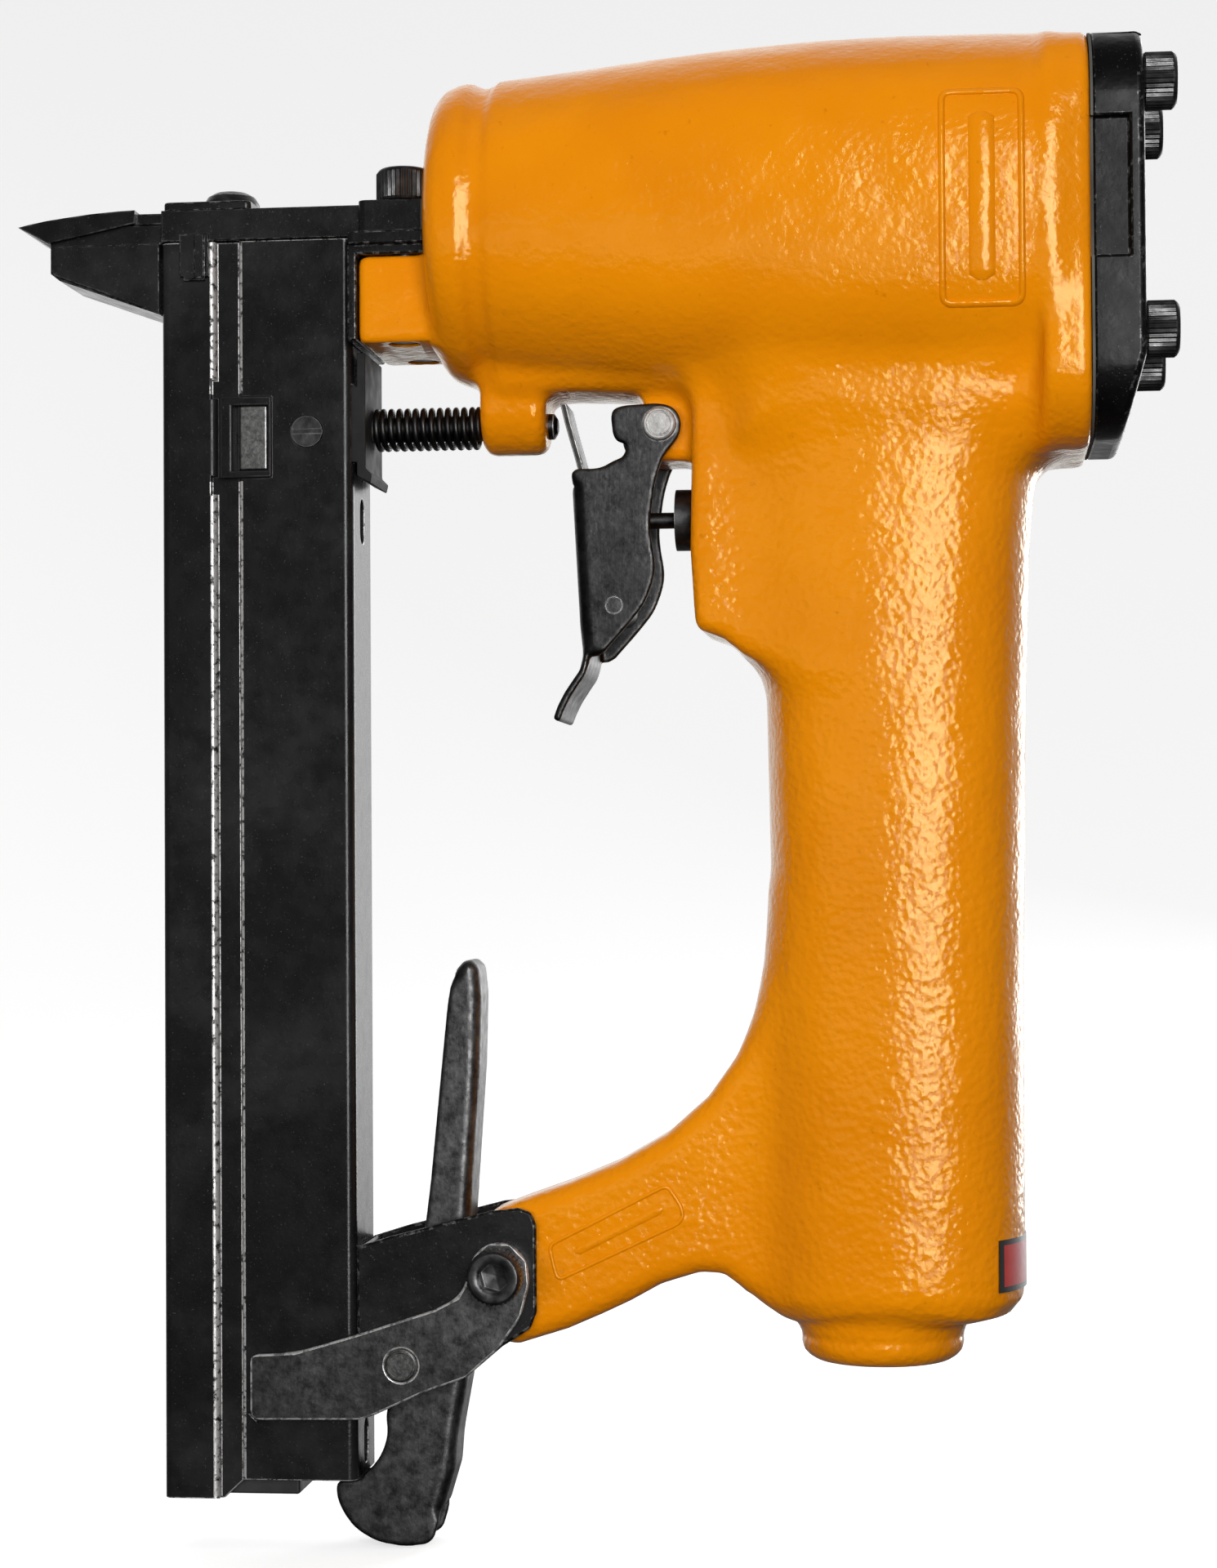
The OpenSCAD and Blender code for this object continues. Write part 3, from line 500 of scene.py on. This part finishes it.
def casting_field(x, y, z):
    """Signed distance of the casting's outside, in millimetres."""
    p = (x, y, z)
    ay = np.abs(y)
    ring = np.hypot(y, z - AXIS_Z)
    barrel = polygon_field(x, ring, [
        (-67.5, -5), (-67.5, 18.6), (-66.8, 20.9), (-65.4, 22.5), (-63.2, 23.4), (-61.6, 23.5),
        (-60.2, 22.7), (-58.6, 22.6), (-57.0, 23.7), (-46.8, 24.7), (-33.9, 26.1), (-21.2, 27.3),
        (-8.5, 28.1), (4.1, 28.4), (16.6, 28.3), (26.6, 28.1), (28.6, 27.0), (29.6, 24.5), (29.6, -5)])
    d = cross(barrel, ay - 24.6, 5.0)
    flange = meet(block((y * 1.0, z, 0 * y), (-23.2, 137.3, -50), (23.2, 199.8, 50), 12.5),
                  np.abs(x - 28.8) - 3.5, 1.3)
    d = join(d, flange, 2.5)
    under = meet(polygon_field(x, z, [(-19, 141), (24, 141), (30, 145), (30, 165), (-19, 165)]), ay - 16, 5)
    d = join(d, under, 7.0)
    nose = meet(block((x, y, 0 * y), (-78.7, -12, -50), (-60, 12, 50), 1.6), np.abs(z - 162.6) - 6.8, 1.3)
    d = join(d, nose, 2.2)
    lug = meet(np.hypot(y, z - 146.6) - 7, np.abs(x + 55.7) - 5.1, 1.9)
    web = block(p, (-60.8, -7, 146.6), (-50.6, 7, 160), 2.2)
    d = join(d, np.minimum(lug, web), 3.0)
    d = join(d, block(p, (-58, -8.5, 148.7), (-24, 8.5, 165), 2.0), 3.0)
    grip = cross(polygon_field(z, np.hypot(x - HANDLE_X, y), [
        (6.3, -5), (6.3, 12.6), (7.4, 16.6), (9.8, 18.6), (14, 18.9), (60, 19.1), (100, 19.8), (124, 20.6),
        (133, 21.4), (139, 23.2), (150, 24), (150, -5)]), ay - 17, 8.0)
    valve = meet(polygon_field(x, z, [
        (-27.2, 156), (-27.9, 123.5), (-27.2, 112.2), (-26.4, 111.2), (-23.1, 110), (-20, 107.6), (-10, 104),
        (2, 104), (2, 156)]), ay - 12, 2.0)
    handle = join(grip, valve, 6.0)
    arm = meet(polygon_field(x, z, [
        (-62.8, 19.5), (-62.8, 6), (-60.5, 3), (-55.7, 2.2), (-48, 4.6), (-42.9, 6.8), (-38.4, 8.9),
        (-33.5, 11.6), (-27.6, 13.4), (-24.1, 13.2), (-20.6, 10.7), (-15.0, 8.5), (-5, 8.4), (-5, 70),
        (-13.4, 70), (-15.6, 60.3), (-18.4, 52.8), (-21.7, 46.5), (-26.2, 40.2), (-32.6, 34.5), (-40.2, 30.1),
        (-47.9, 26.9), (-54.2, 24.7), (-59.4, 22.7)]), ay - 6.9, 3.2)
    handle = join(handle, arm, 7.0)
    boss = polygon_field(z, np.hypot(x, y), [
        (0, -5), (0, 9.6), (0.5, 11.0), (1.7, 12.1), (3.4, 12.5), (3.9, 12.1), (4.4, 12.6), (12, 12.6),
        (12, -5)])
    handle = join(handle, boss, 1.6)
    d = join(d, handle, 5.0)
    return join(d, block(p, (-35.4, -6.8, 137.6), (-22, 6.8, 156), 1.6), 1.8)


def surface_net(field, origin, h):
    """Quads on the zero level of a sampled field."""
    inside = field < 0
    near = np.zeros([n - 1 for n in inside.shape], np.int8)
    corners = [(a, b, c) for a in (0, 1) for b in (0, 1) for c in (0, 1)]
    cut = lambda a, o: a[tuple(slice(k, k + n - 1) for k, n in zip(o, a.shape))]
    for o in corners:
        near += cut(inside, o)
    active = (near > 0) & (near < 8)
    cells = np.argwhere(active)
    index = np.full(active.shape, -1, np.int32)
    index[active] = np.arange(len(cells))
    pos, hits = np.zeros((len(cells), 3)), np.zeros(len(cells))
    for axis in range(3):
        step = np.eye(3, dtype=int)[axis]
        for o in corners:
            if o[axis]:
                continue
            i0, i1 = cells + o, cells + o + step
            a, b = field[tuple(i0.T)], field[tuple(i1.T)]
            m = (a < 0) != (b < 0)
            t = a[m] / (a[m] - b[m])
            pos[m] += np.asarray(o) + t[:, None] * step
            hits[m] += 1
    verts = np.asarray(origin) + h * (cells + pos / hits[:, None])
    quads = []
    for axis in range(3):
        b, c = [k for k in range(3) if k != axis]
        lo = [slice(None)] * 3
        hi = [slice(None)] * 3
        lo[axis], hi[axis] = slice(0, -1), slice(1, None)
        change = inside[tuple(lo)] != inside[tuple(hi)]
        e = np.argwhere(change)
        n = np.asarray(index.shape)
        e = e[(e[:, b] > 0) & (e[:, c] > 0) & (e[:, b] < n[b]) & (e[:, c] < n[c])]
        around = []
        for db, dc in ((-1, -1), (0, -1), (0, 0), (-1, 0)):
            q = e.copy()
            q[:, b] += db
            q[:, c] += dc
            around.append(index[tuple(q.T)])
        ring = np.stack(around, 1)
        outward = inside[tuple(e.T)] ^ (axis == 1)
        ring[~outward] = ring[~outward][:, ::-1]
        quads.append(ring)
    return verts, np.concatenate(quads)


def relax(verts, quads, rounds, pull=0.5):
    ends = np.concatenate([quads[:, [0, 1]], quads[:, [1, 2]], quads[:, [2, 3]], quads[:, [3, 0]]])
    for k in range(rounds):
        total = np.zeros_like(verts)
        count = np.bincount(ends.ravel(), minlength=len(verts))[:, None]
        for c in range(3):
            total[:, c] = (np.bincount(ends[:, 0], verts[ends[:, 1], c], len(verts))
                           + np.bincount(ends[:, 1], verts[ends[:, 0], c], len(verts)))
        verts = verts + (pull if k % 2 == 0 else -pull * 1.04) * (total / count - verts)
    return verts


def field_mesh(name, field, lo, hi, h):
    """The zero surface of a field function, sampled on a grid of step h millimetres."""
    axes = [np.arange(a, b, h, dtype=np.float32) for a, b in zip(lo, hi)]
    x, y, z = np.meshgrid(*axes, indexing="ij", sparse=True)
    one = np.zeros([len(a) for a in axes], np.float32)
    verts, quads = surface_net(field(x + one, y + one, z + one), lo, h)
    verts = relax(verts, quads, 4)
    mesh = bpy.data.meshes.new(name)
    mesh.from_pydata((verts * MM).tolist(), [], quads.tolist())
    mesh.validate()
    return mesh


def softened(points, reach=0.8, rounds=2):
    """Closed outline with its corners cut twice, at most reach from each corner."""
    for _ in range(rounds):
        out = []
        for i, p in enumerate(points):
            p, q = Vector(p), Vector(points[(i + 1) % len(points)])
            step = (q - p) * min(0.25, reach / max((q - p).length, 0.01))
            out += [tuple(p + step), tuple(q - step)]
        points, reach = out, reach / 2
    return points


def folded_sheet(flank, web, mid, half, thick, fold, ease):
    """Field of two flanks joined by a web, the fold rounded to radius fold."""
    def field(x, y, z):
        side, back = polygon_field(x, z, softened(flank)), polygon_field(x, z, softened(web, 0.3))
        flanks = meet(side, np.abs(np.abs(y) - mid) - thick / 2, 0.3)
        near = np.clip(1.25 - np.maximum(back, 0) / 1.8, 0, 1) * ease(z)
        shell = join(flanks, meet(back, np.abs(y) - half, 0.3), 0.8)
        return np.maximum(shell, meet(np.minimum(side, back), np.abs(y) - half, 0.3 + (fold - 0.3) * near))
    return field


def bore(x0, x1, y, z, r, axis="X", count=64):
    """A cutter: round bar from x0 to x1 along its axis."""
    bm = bmesh.new()
    bmesh.ops.create_cone(bm, cap_ends=True, segments=count, radius1=r * MM, radius2=r * MM,
                          depth=(x1 - x0) * MM)
    turn = {"X": Matrix.Rotation(math.pi / 2, 4, "Y"), "Y": Matrix.Rotation(math.pi / 2, 4, "X"),
            "Z": Matrix.Identity(4)}[axis]
    mid = (x0 + x1) / 2
    at = {"X": (mid, y, z), "Y": (y, mid, z), "Z": (y, z, mid)}[axis]
    bmesh.ops.transform(bm, matrix=Matrix.Translation(Vector(at) * MM) @ turn, verts=bm.verts)
    return bm


def boxcut(lo, hi):
    bm = bmesh.new()
    bmesh.ops.create_cube(bm, size=1.0)
    for v in bm.verts:
        v.co = Vector([(l + h) / 2 + c * (h - l) for c, l, h in zip(v.co, lo, hi)]) * MM
    return bm


def carve(obj, cutters):
    for bm in cutters:
        mesh = bpy.data.meshes.new("cut")
        bm.to_mesh(mesh)
        bm.free()
        tool = bpy.data.objects.new("cut", mesh)
        scene.collection.objects.link(tool)
        mod = obj.modifiers.new("cut", "BOOLEAN")
        mod.operation, mod.solver, mod.object = "DIFFERENCE", "MANIFOLD", tool
        bpy.context.view_layer.update()
        done = bpy.data.meshes.new_from_object(obj.evaluated_get(bpy.context.evaluated_depsgraph_get()))
        obj.modifiers.clear()
        old, obj.data = obj.data, done
        bpy.data.meshes.remove(old)
        bpy.data.objects.remove(tool)
        bpy.data.meshes.remove(mesh)


NOSE_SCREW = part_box("nose_screws")[1] / MM - Vector((M5_HEAD, M5_HEAD, M5_TALL))
CAP_LOW, CAP_HIGH = (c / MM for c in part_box("cap_screws"))
CAP_SCREWS = [(s * (CAP_HIGH.y - M5_HEAD), z) for s in (-1, 1)
              for z in (CAP_HIGH.z - M5_HEAD, CAP_LOW.z + M5_HEAD)]


def make_casting():
    mesh = field_mesh("casting", casting_field, (-80.6, -27.2, -2.0), (34.4, 27.2, 205.2),
                      0.74)
    obj = bpy.data.objects.new("casting", mesh)
    scene.collection.objects.link(obj)
    carve(obj, [
        # driver slot, sleeve and head valve
        boxcut((-68.6, -6.4, AXIS_Z - 1.4), (-60, 6.4, AXIS_Z + 1.4)),
        bore(-62.5, 0, 0, AXIS_Z, 16.85, count=96), bore(-44, 10, 0, AXIS_Z, 19.5, count=96),
        bore(8, 40, 0, AXIS_Z, 20, count=96),
        # air chamber, inlet, trigger valve and safety rod
        bore(18, 163, HANDLE_X, 0, 13, "Z"), bore(-3, 21, 0, 0, 5.9, "Z"),
        bore(-32, -5, 0, VALVE_Z, 5), bore(-64, -48, 0, ROD_Z, 2.06),
        # pins and screws
        bore(-9, 9, *TRIGGER_PIN, M5_HOLE, "Y"), bore(-9, 9, *ARM_BOLT, 2.6, "Y"),
        *[bore(150, 175, NOSE_SCREW.x, s * NOSE_SCREW.y, M5_HOLE, "Z") for s in (-1, 1)],
        *[bore(16, 40, y, z, M5_HOLE) for y, z in CAP_SCREWS],
        # room for the magazine
        boxcut((-85, -13, 100), (-67.5, 13, 156)),
    ])
    mesh = obj.data
    bpy.data.objects.remove(obj)
    return finish_piece("casting", mesh, "orange_paint", "tool_body", ("gun_body",), 38)


casting = make_casting()


def surface_y(tree, x, z, side):
    """Where the casting's side lies at x, z, in millimetres."""
    hit = tree.ray_cast(Vector((x * MM, side * 0.2, z * MM)), Vector((0, -side, 0)))[0]
    return hit.y / MM if hit else side * 6.9


def ridge(tree, path, width, height, side, closed=True):
    """A low raised line that follows the casting's side."""
    pts = [Vector(p) for p in path]
    n = len(pts)
    section = [(-0.5, -0.35), (-0.42, 0.35), (-0.2, 0.92), (0.0, 1.0), (0.2, 0.92), (0.42, 0.35),
               (0.5, -0.35)]
    verts, faces = [], []
    for i, p in enumerate(pts):
        a = pts[(i - 1) % n] if closed or i else p
        b = pts[(i + 1) % n] if closed or i < n - 1 else p
        t = (b - a).normalized()
        out = Vector((-t.y, t.x))
        taper = 1.0 if closed or 0 < i < n - 1 else 0.35
        for u, hgt in section:
            q = p + out * u * width * taper
            verts.append((q.x, surface_y(tree, q.x, q.y, side) + side * hgt * height * taper, q.y))
    m = len(section)
    for i in range(n if closed else n - 1):
        j = (i + 1) % n
        for k in range(m - 1):
            faces.append((i * m + k, i * m + k + 1, j * m + k + 1, j * m + k))
    return verts, faces


def rounded(points, r, step=0.8):
    """Closed outline with rounded corners and points about one step apart."""
    out = []
    pts = [Vector(p) for p in points]
    n = len(pts)
    for i, p in enumerate(pts):
        a, b = (pts[i - 1] - p), (pts[(i + 1) % n] - p)
        s, e = p + a.normalized() * r, p + b.normalized() * r
        for k in range(7):
            t = k / 6
            out.append(s * (1 - t) ** 2 + p * 2 * t * (1 - t) + e * t * t)
        nxt = pts[(i + 1) % n] + (p - pts[(i + 1) % n]).normalized() * r
        run = int((nxt - e).length / step)
        out += [e + (nxt - e) * k / run for k in range(1, run)] if run > 1 else []
    return out


def make_relief():
    bm = bmesh.new()
    bm.from_mesh(casting.data)
    tree = BVHTree.FromBMesh(bm)
    bm.free()
    barrel_frame = rounded([(10.6, 157.6), (22.2, 157.6), (22.2, 188.8), (10.6, 188.8)], 1.5)
    barrel_bar = [(16.4, 160.9 + i * 0.75) for i in range(34)]
    arm_frame = rounded([(-50.6, 17.6), (-32.4, 26.9), (-30.0, 23.2), (-30.2, 21.3), (-49.3, 12.3)], 1.2)
    arm_bar = [(-46.6 + i * 0.56, 16.6 + i * 0.28) for i in range(25)]
    shells = []
    for side in (-1, 1):
        shells.append(ridge(tree, barrel_frame, 1.1, 0.42, side))
        shells.append(ridge(tree, barrel_bar, 4.2, 0.5, side, False))
        shells.append(ridge(tree, arm_frame, 0.7, 0.22, side))
        shells.append(ridge(tree, arm_bar, 1.5, 0.24, side, False))
    verts, faces = merge(shells)
    return piece("casting_relief", verts, faces, "orange_paint", "tool_body", (), 60)


make_relief()

# ---------------------------------------------------------------- sheet, cap and levers
def cap_rim(mid, along, facing):
    out = math.hypot(max(abs(mid.y) - 10.8, 0), max(abs(mid.z - 169.1) - 18.5, 0))
    return out > 11.5 and any(n.x > 0.9 for n in facing)


def long_fold(mid, along, facing):
    return abs(mid.y) > 7.9 and -102 < mid.x < -98 and abs(along.z) > 5


def key_corner(mid, along, facing):
    return long_fold(mid, along, facing) or (abs(mid.y) > 8.1 and abs(along.y) > 0.3 and -102 < mid.x < -92)


def outline_corner(mid, along, facing):
    return abs(along.y) > 0.9 * along.length


EDGES = {
    "cylinder_cap": (0.4, 1.1, cap_rim), "nose_plate": (0.12,), "nose_rear_plate": (0.3,),
    "head_bracket": (0.35,), "cover_plate": (0.3,), "button_screw": (0.12,),
    "safety_yoke": (0.22,), "safety_rod": (0.12,),
    "idle_lever": (0.2,), "magazine_channel": (0.16, 0.55, key_corner), "channel_keys": (0.3,),
    "magazine_cover": (0.18, 1.0, long_fold), "staple_rail": (0.15,), "rail_end_block": (0.4,),
    "pusher": (0.15,), "arm_bracket": (0.5,), "side_links": (0.35, 1.6, outline_corner, 10.0),
    "arm_nut": (0.3,), "driver_blade": (0.1,),
}
for name, widths in EDGES.items():
    edged(name, *widths)

TRIGGER_FLANK = [
    (-46.3, 136.4), (-41.9, 136.3), (-39.7, 137.5), (-38.1, 138.1), (-37.7, 140), (-39.7, 140.6),
    (-40.2, 145), (-38.7, 145.9), (-32.6, 146.2), (-30.4, 145.5), (-29.3, 143.6), (-29.5, 141.4),
    (-30.6, 139.8), (-32.2, 138), (-33.4, 134.2), (-34.3, 128), (-34, 124.9), (-33.4, 121.7),
    (-33.7, 119.2), (-35.1, 115.5), (-37.6, 112.4), (-42.1, 107.4), (-44.8, 107.4), (-44.8, 108.4),
    (-45.2, 112), (-46.3, 133.4)]
TRIGGER_SPINE = [
    (-46.3, 133.4), (-45.1, 133.4), (-44, 112), (-43.5, 108.2), (-43.6, 106.6), (-44.3, 104.8),
    (-45.4, 103.2), (-46.6, 101.4), (-47.6, 99.4), (-48.3, 97.6), (-49.3, 98), (-48.6, 100),
    (-47.5, 102.1), (-46.2, 104), (-45.2, 105.4), (-44.8, 107.4), (-44.8, 108.4), (-45.2, 112)]
LEVER_FLANK = [
    (-64, 61), (-65.4, 59.4), (-65.9, 57.2), (-66.4, 54.3), (-67.3, 45.5), (-69.2, 26.7), (-70.6, 16),
    (-74.2, 6), (-76.4, 2.4), (-76.8, -1.6), (-75.2, -5.4), (-76.4, -8.6), (-76, -11.6), (-76.8, -14.4),
    (-78.2, -16.6), (-79.9, -18), (-80.2, -18.9), (-84.1, -18.9), (-84.1, -21.6), (-82.9, -24.2),
    (-81, -26.5), (-77.8, -28.3), (-73.4, -29), (-69.2, -28.4), (-67.6, -23.2), (-65.7, -16.9),
    (-65.3, -11.9), (-63.7, -3.2), (-63.2, 20.6), (-61.5, 44.9), (-61.2, 55.8), (-61.6, 60),
    (-62.8, 61.2)]
LEVER_WEB = [
    (-62.8, 61.2), (-61.6, 60), (-61.2, 55.8), (-61.5, 44.9), (-63.2, 20.6), (-63.7, -3.2),
    (-65.3, -11.9), (-65.7, -16.9), (-67.6, -23.2), (-68.8, -22.8), (-66.9, -16.6), (-66.5, -11.7),
    (-64.9, -3), (-64.4, 20.7), (-62.7, 45), (-62.4, 56), (-62.8, 58.6), (-63.8, 59.4), (-64.8, 58.8),
    (-65.4, 59.4), (-64, 61)]
TRIGGER_TAIL = 105
SHEETS = {
    "trigger": (folded_sheet(TRIGGER_FLANK, TRIGGER_SPINE, 7.8, 8.4, 1.2, 2.1,
                             lambda z: np.clip((z - TRIGGER_TAIL) / 4, 0, 1)),
                [(*TRIGGER_PIN, 2.54), (*IDLE_PIN, 1.22)]),
    "latch_lever": (folded_sheet(LEVER_FLANK, LEVER_WEB, 4.5, 5.1, 1.2, 1.9, lambda z: 1.0),
                    [(*LATCH_PIN, 2.56)]),
}
SHEET_STEP = 0.3
margin = Vector((1, 1, 1))
for node, (field, holes) in SHEETS.items():
    lo, hi = (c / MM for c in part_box(node))
    mesh = field_mesh(node, field, lo - margin, hi + margin, SHEET_STEP)
    obj = bpy.data.objects.new(node + "_folded", mesh)
    scene.collection.objects.link(obj)
    carve(obj, [bore(-12, 12, x, z, r, "Y") for x, z, r in holes])
    mesh = obj.data
    bpy.data.objects.remove(obj)
    finish_piece(node + "_folded", mesh, SLOT[node], BODY[node], (node,), 50)

# ---------------------------------------------------------------- screws, pins and springs
seat = CAP_HIGH.x - M5_TALL
heads = [screw_shell((seat, y, z), (1, 0, 0), seat - CAP_LOW.x) for y, z in CAP_SCREWS]
piece("cap_socket_screws", *merge(heads), "black_oxide", "tool_body", ("cap_screws",), 24)
depth = NOSE_SCREW.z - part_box("nose_screws")[0].z / MM
heads = [screw_shell((NOSE_SCREW.x, s * NOSE_SCREW.y, NOSE_SCREW.z), (0, 0, 1), depth) for s in (-1, 1)]
piece("nose_socket_screws", *merge(heads), "black_oxide", "tool_body", ("nose_screws",), 24)
piece("arm_socket_bolt", *screw_shell((ARM_BOLT[0], -9.6, ARM_BOLT[1]), (0, -1, 0), 24), "black_oxide",
      "tool_body", ("arm_bolt",), 24)
for name, node, groove in (("trigger_pivot", "trigger_pin", 1.7), ("latch_pivot", "latch_pin", 1.9)):
    piece(name, *pin_shell(node, 2.5, groove), SLOT[node], "tool_body", (node,), 24)

coil_spring("safety_coil", "safety_spring", (-78.3, 0, ROD_Z), (-60.9, 0, ROD_Z), 2.95, 0.9, 13.5)
coil_spring("valve_coil", "valve_spring", (-17.95, 0, VALVE_Z), (-9.85, 0, VALVE_Z), 2.9, 0.6, 6.5, 8, 24)
coil_spring("head_valve_coil", "head_valve_spring", (38.3, 0, AXIS_Z), (18.1, 0, AXIS_Z), 9.9, 1.4, 7, 8, 32)
coil_spring("pusher_coil", "pusher_spring", (-97, 0, -16), (-97, 0, 149.9), 2.25, 0.7, 60, 6, 16)
for coil, joint, axis, anchor, keep in (
        ("safety_coil", "safety_slide", (1, 0, 0), (-0.0609, 0, 0.144), 1 - 4 / 17.4),
        ("valve_coil", "valve_stem_push", (1, 0, 0), (-0.00985, 0, 0.129), 1 - 2.25 / 8.1),
        ("head_valve_coil", "head_valve_lift", (1, 0, 0), (0.0383, 0, 0.174), 1 - 3 / 20.2),
        ("pusher_coil", "pusher_travel", (0, 0, 1), (-0.097, 0, -0.016), 1 - 100 / 165.9)):
    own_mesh(bpy.data.objects[coil])


# ---------------------------------------------------------------- floor, light and camera
def make_stage():
    """Pale floor that curves up into a plain wall all round."""
    s = Shader("studio", Roughness=0.9, Specular_IOR_Level=0.1, Emission_Color=(1, 1, 1, 1),
               Emission_Strength=0.62)
    s.mat.cycles.emission_sampling = "NONE"
    s.set("Base Color", s.mix(s.noise(3, 2), (0.86, 0.86, 0.86, 1), (0.89, 0.89, 0.89, 1)))
    flat, curve = 0.9, 0.7
    profile = [(0.0, 0.0), (flat, 0.0)]
    profile += [(flat + curve * math.sin(a), curve - curve * math.cos(a))
                for a in np.linspace(0.05, math.pi / 2, 14)]
    profile += [(flat + curve, 1.3)]
    verts, faces, count = [(0, 0, 0)], [], 96
    for r, h in profile[1:]:
        verts += [(r * math.cos(2 * math.pi * i / count), r * math.sin(2 * math.pi * i / count), h)
                  for i in range(count)]
    for i in range(count):
        j = (i + 1) % count
        faces.append((0, 1 + i, 1 + j))
        for k in range(len(profile) - 2):
            low, high = 1 + k * count, 1 + (k + 1) * count
            faces.append((low + i, high + i, high + j, low + j))
    mesh = bpy.data.meshes.new("studio_floor")
    mesh.from_pydata(verts, [], faces)
    mesh.shade_smooth()
    mesh.materials.append(s.mat)
    obj = bpy.data.objects.new("studio_floor", mesh)
    obj.location = (-0.04, 0, cad_box[0].z - 0.0004)
    obj.visible_glossy = obj.visible_diffuse = False
    scene.collection.objects.link(obj)


def area_light(name, at, aim, size, power):
    data = bpy.data.lights.new(name, "AREA")
    data.shape, data.size, data.size_y = "RECTANGLE", size[0], size[1]
    data.energy = power
    obj = bpy.data.objects.new(name, data)
    obj.location = at
    obj.rotation_euler = (Vector(aim) - Vector(at)).to_track_quat("-Z", "Y").to_euler()
    scene.collection.objects.link(obj)
    return obj


def make_world():
    """Dark room on the near side and a bright wall on the far side, as the metal mirrors them."""
    world = bpy.data.worlds.new("studio")
    world.use_nodes = True
    tree = world.node_tree
    ray = tree.nodes.new("ShaderNodeTexCoord").outputs["Generated"]
    axes = tree.nodes.new("ShaderNodeSeparateXYZ")
    tree.links.new(ray, axes.inputs[0])
    strength = []
    for axis, span, level in ((1, (0.2, 0.8), (0.09, 1.1)), (2, (-0.3, -0.05), (0.12, 1.0))):
        ramp = tree.nodes.new("ShaderNodeMapRange")
        for key, value in zip(("From Min", "From Max", "To Min", "To Max"), span + level):
            ramp.inputs[key].default_value = value
        tree.links.new(axes.outputs[axis], ramp.inputs["Value"])
        strength.append(ramp.outputs[0])
    product = tree.nodes.new("ShaderNodeMath")
    product.operation = "MULTIPLY"
    for socket, value in zip(product.inputs, strength):
        tree.links.new(value, socket)
    tree.links.new(product.outputs[0], tree.nodes["Background"].inputs[1])
    tree.nodes["Background"].inputs[0].default_value = (1, 1, 1, 1)
    scene.world = world


make_stage()
make_world()
area_light("key", (0.26, -1.05, 0.22), (-0.03, 0, 0.09), (0.36, 0.75), 8.6)
area_light("top", (0.0, 0.1, 1.25), (-0.04, 0, 0.08), (1.5, 1.5), 4.6).visible_glossy = False
area_light("fill", (-0.45, -0.95, 0.12), (-0.04, 0, 0.08), (0.9, 0.25), 5.4).visible_glossy = False
area_light("back", (0.5, 0.95, 0.3), (-0.03, 0, 0.09), (0.4, 0.8), 4.0)
scene.view_settings.view_transform = "Standard"

camera = bpy.data.objects.new("camera", bpy.data.cameras.new("camera"))
scene.collection.objects.link(camera)
turn, tilt, roll = 0.1107158, -0.0248183, -0.0064802
ahead = Vector((-math.sin(turn) * math.cos(tilt), math.cos(turn) * math.cos(tilt), -math.sin(tilt)))
right = ahead.cross(Vector((0, 0, 1))).normalized()
up = right.cross(ahead)
right, up = (right * math.cos(roll) + up * math.sin(roll), up * math.cos(roll) - right * math.sin(roll))
camera.matrix_world = Matrix.Translation((0.012059, -0.483789, 0.076134)) @ Matrix(
    (right, up, -ahead)).transposed().to_4x4()
camera.data.sensor_width = 36.0
camera.data.lens = 72.030375
camera.data.clip_start = 0.01
scene.camera = camera
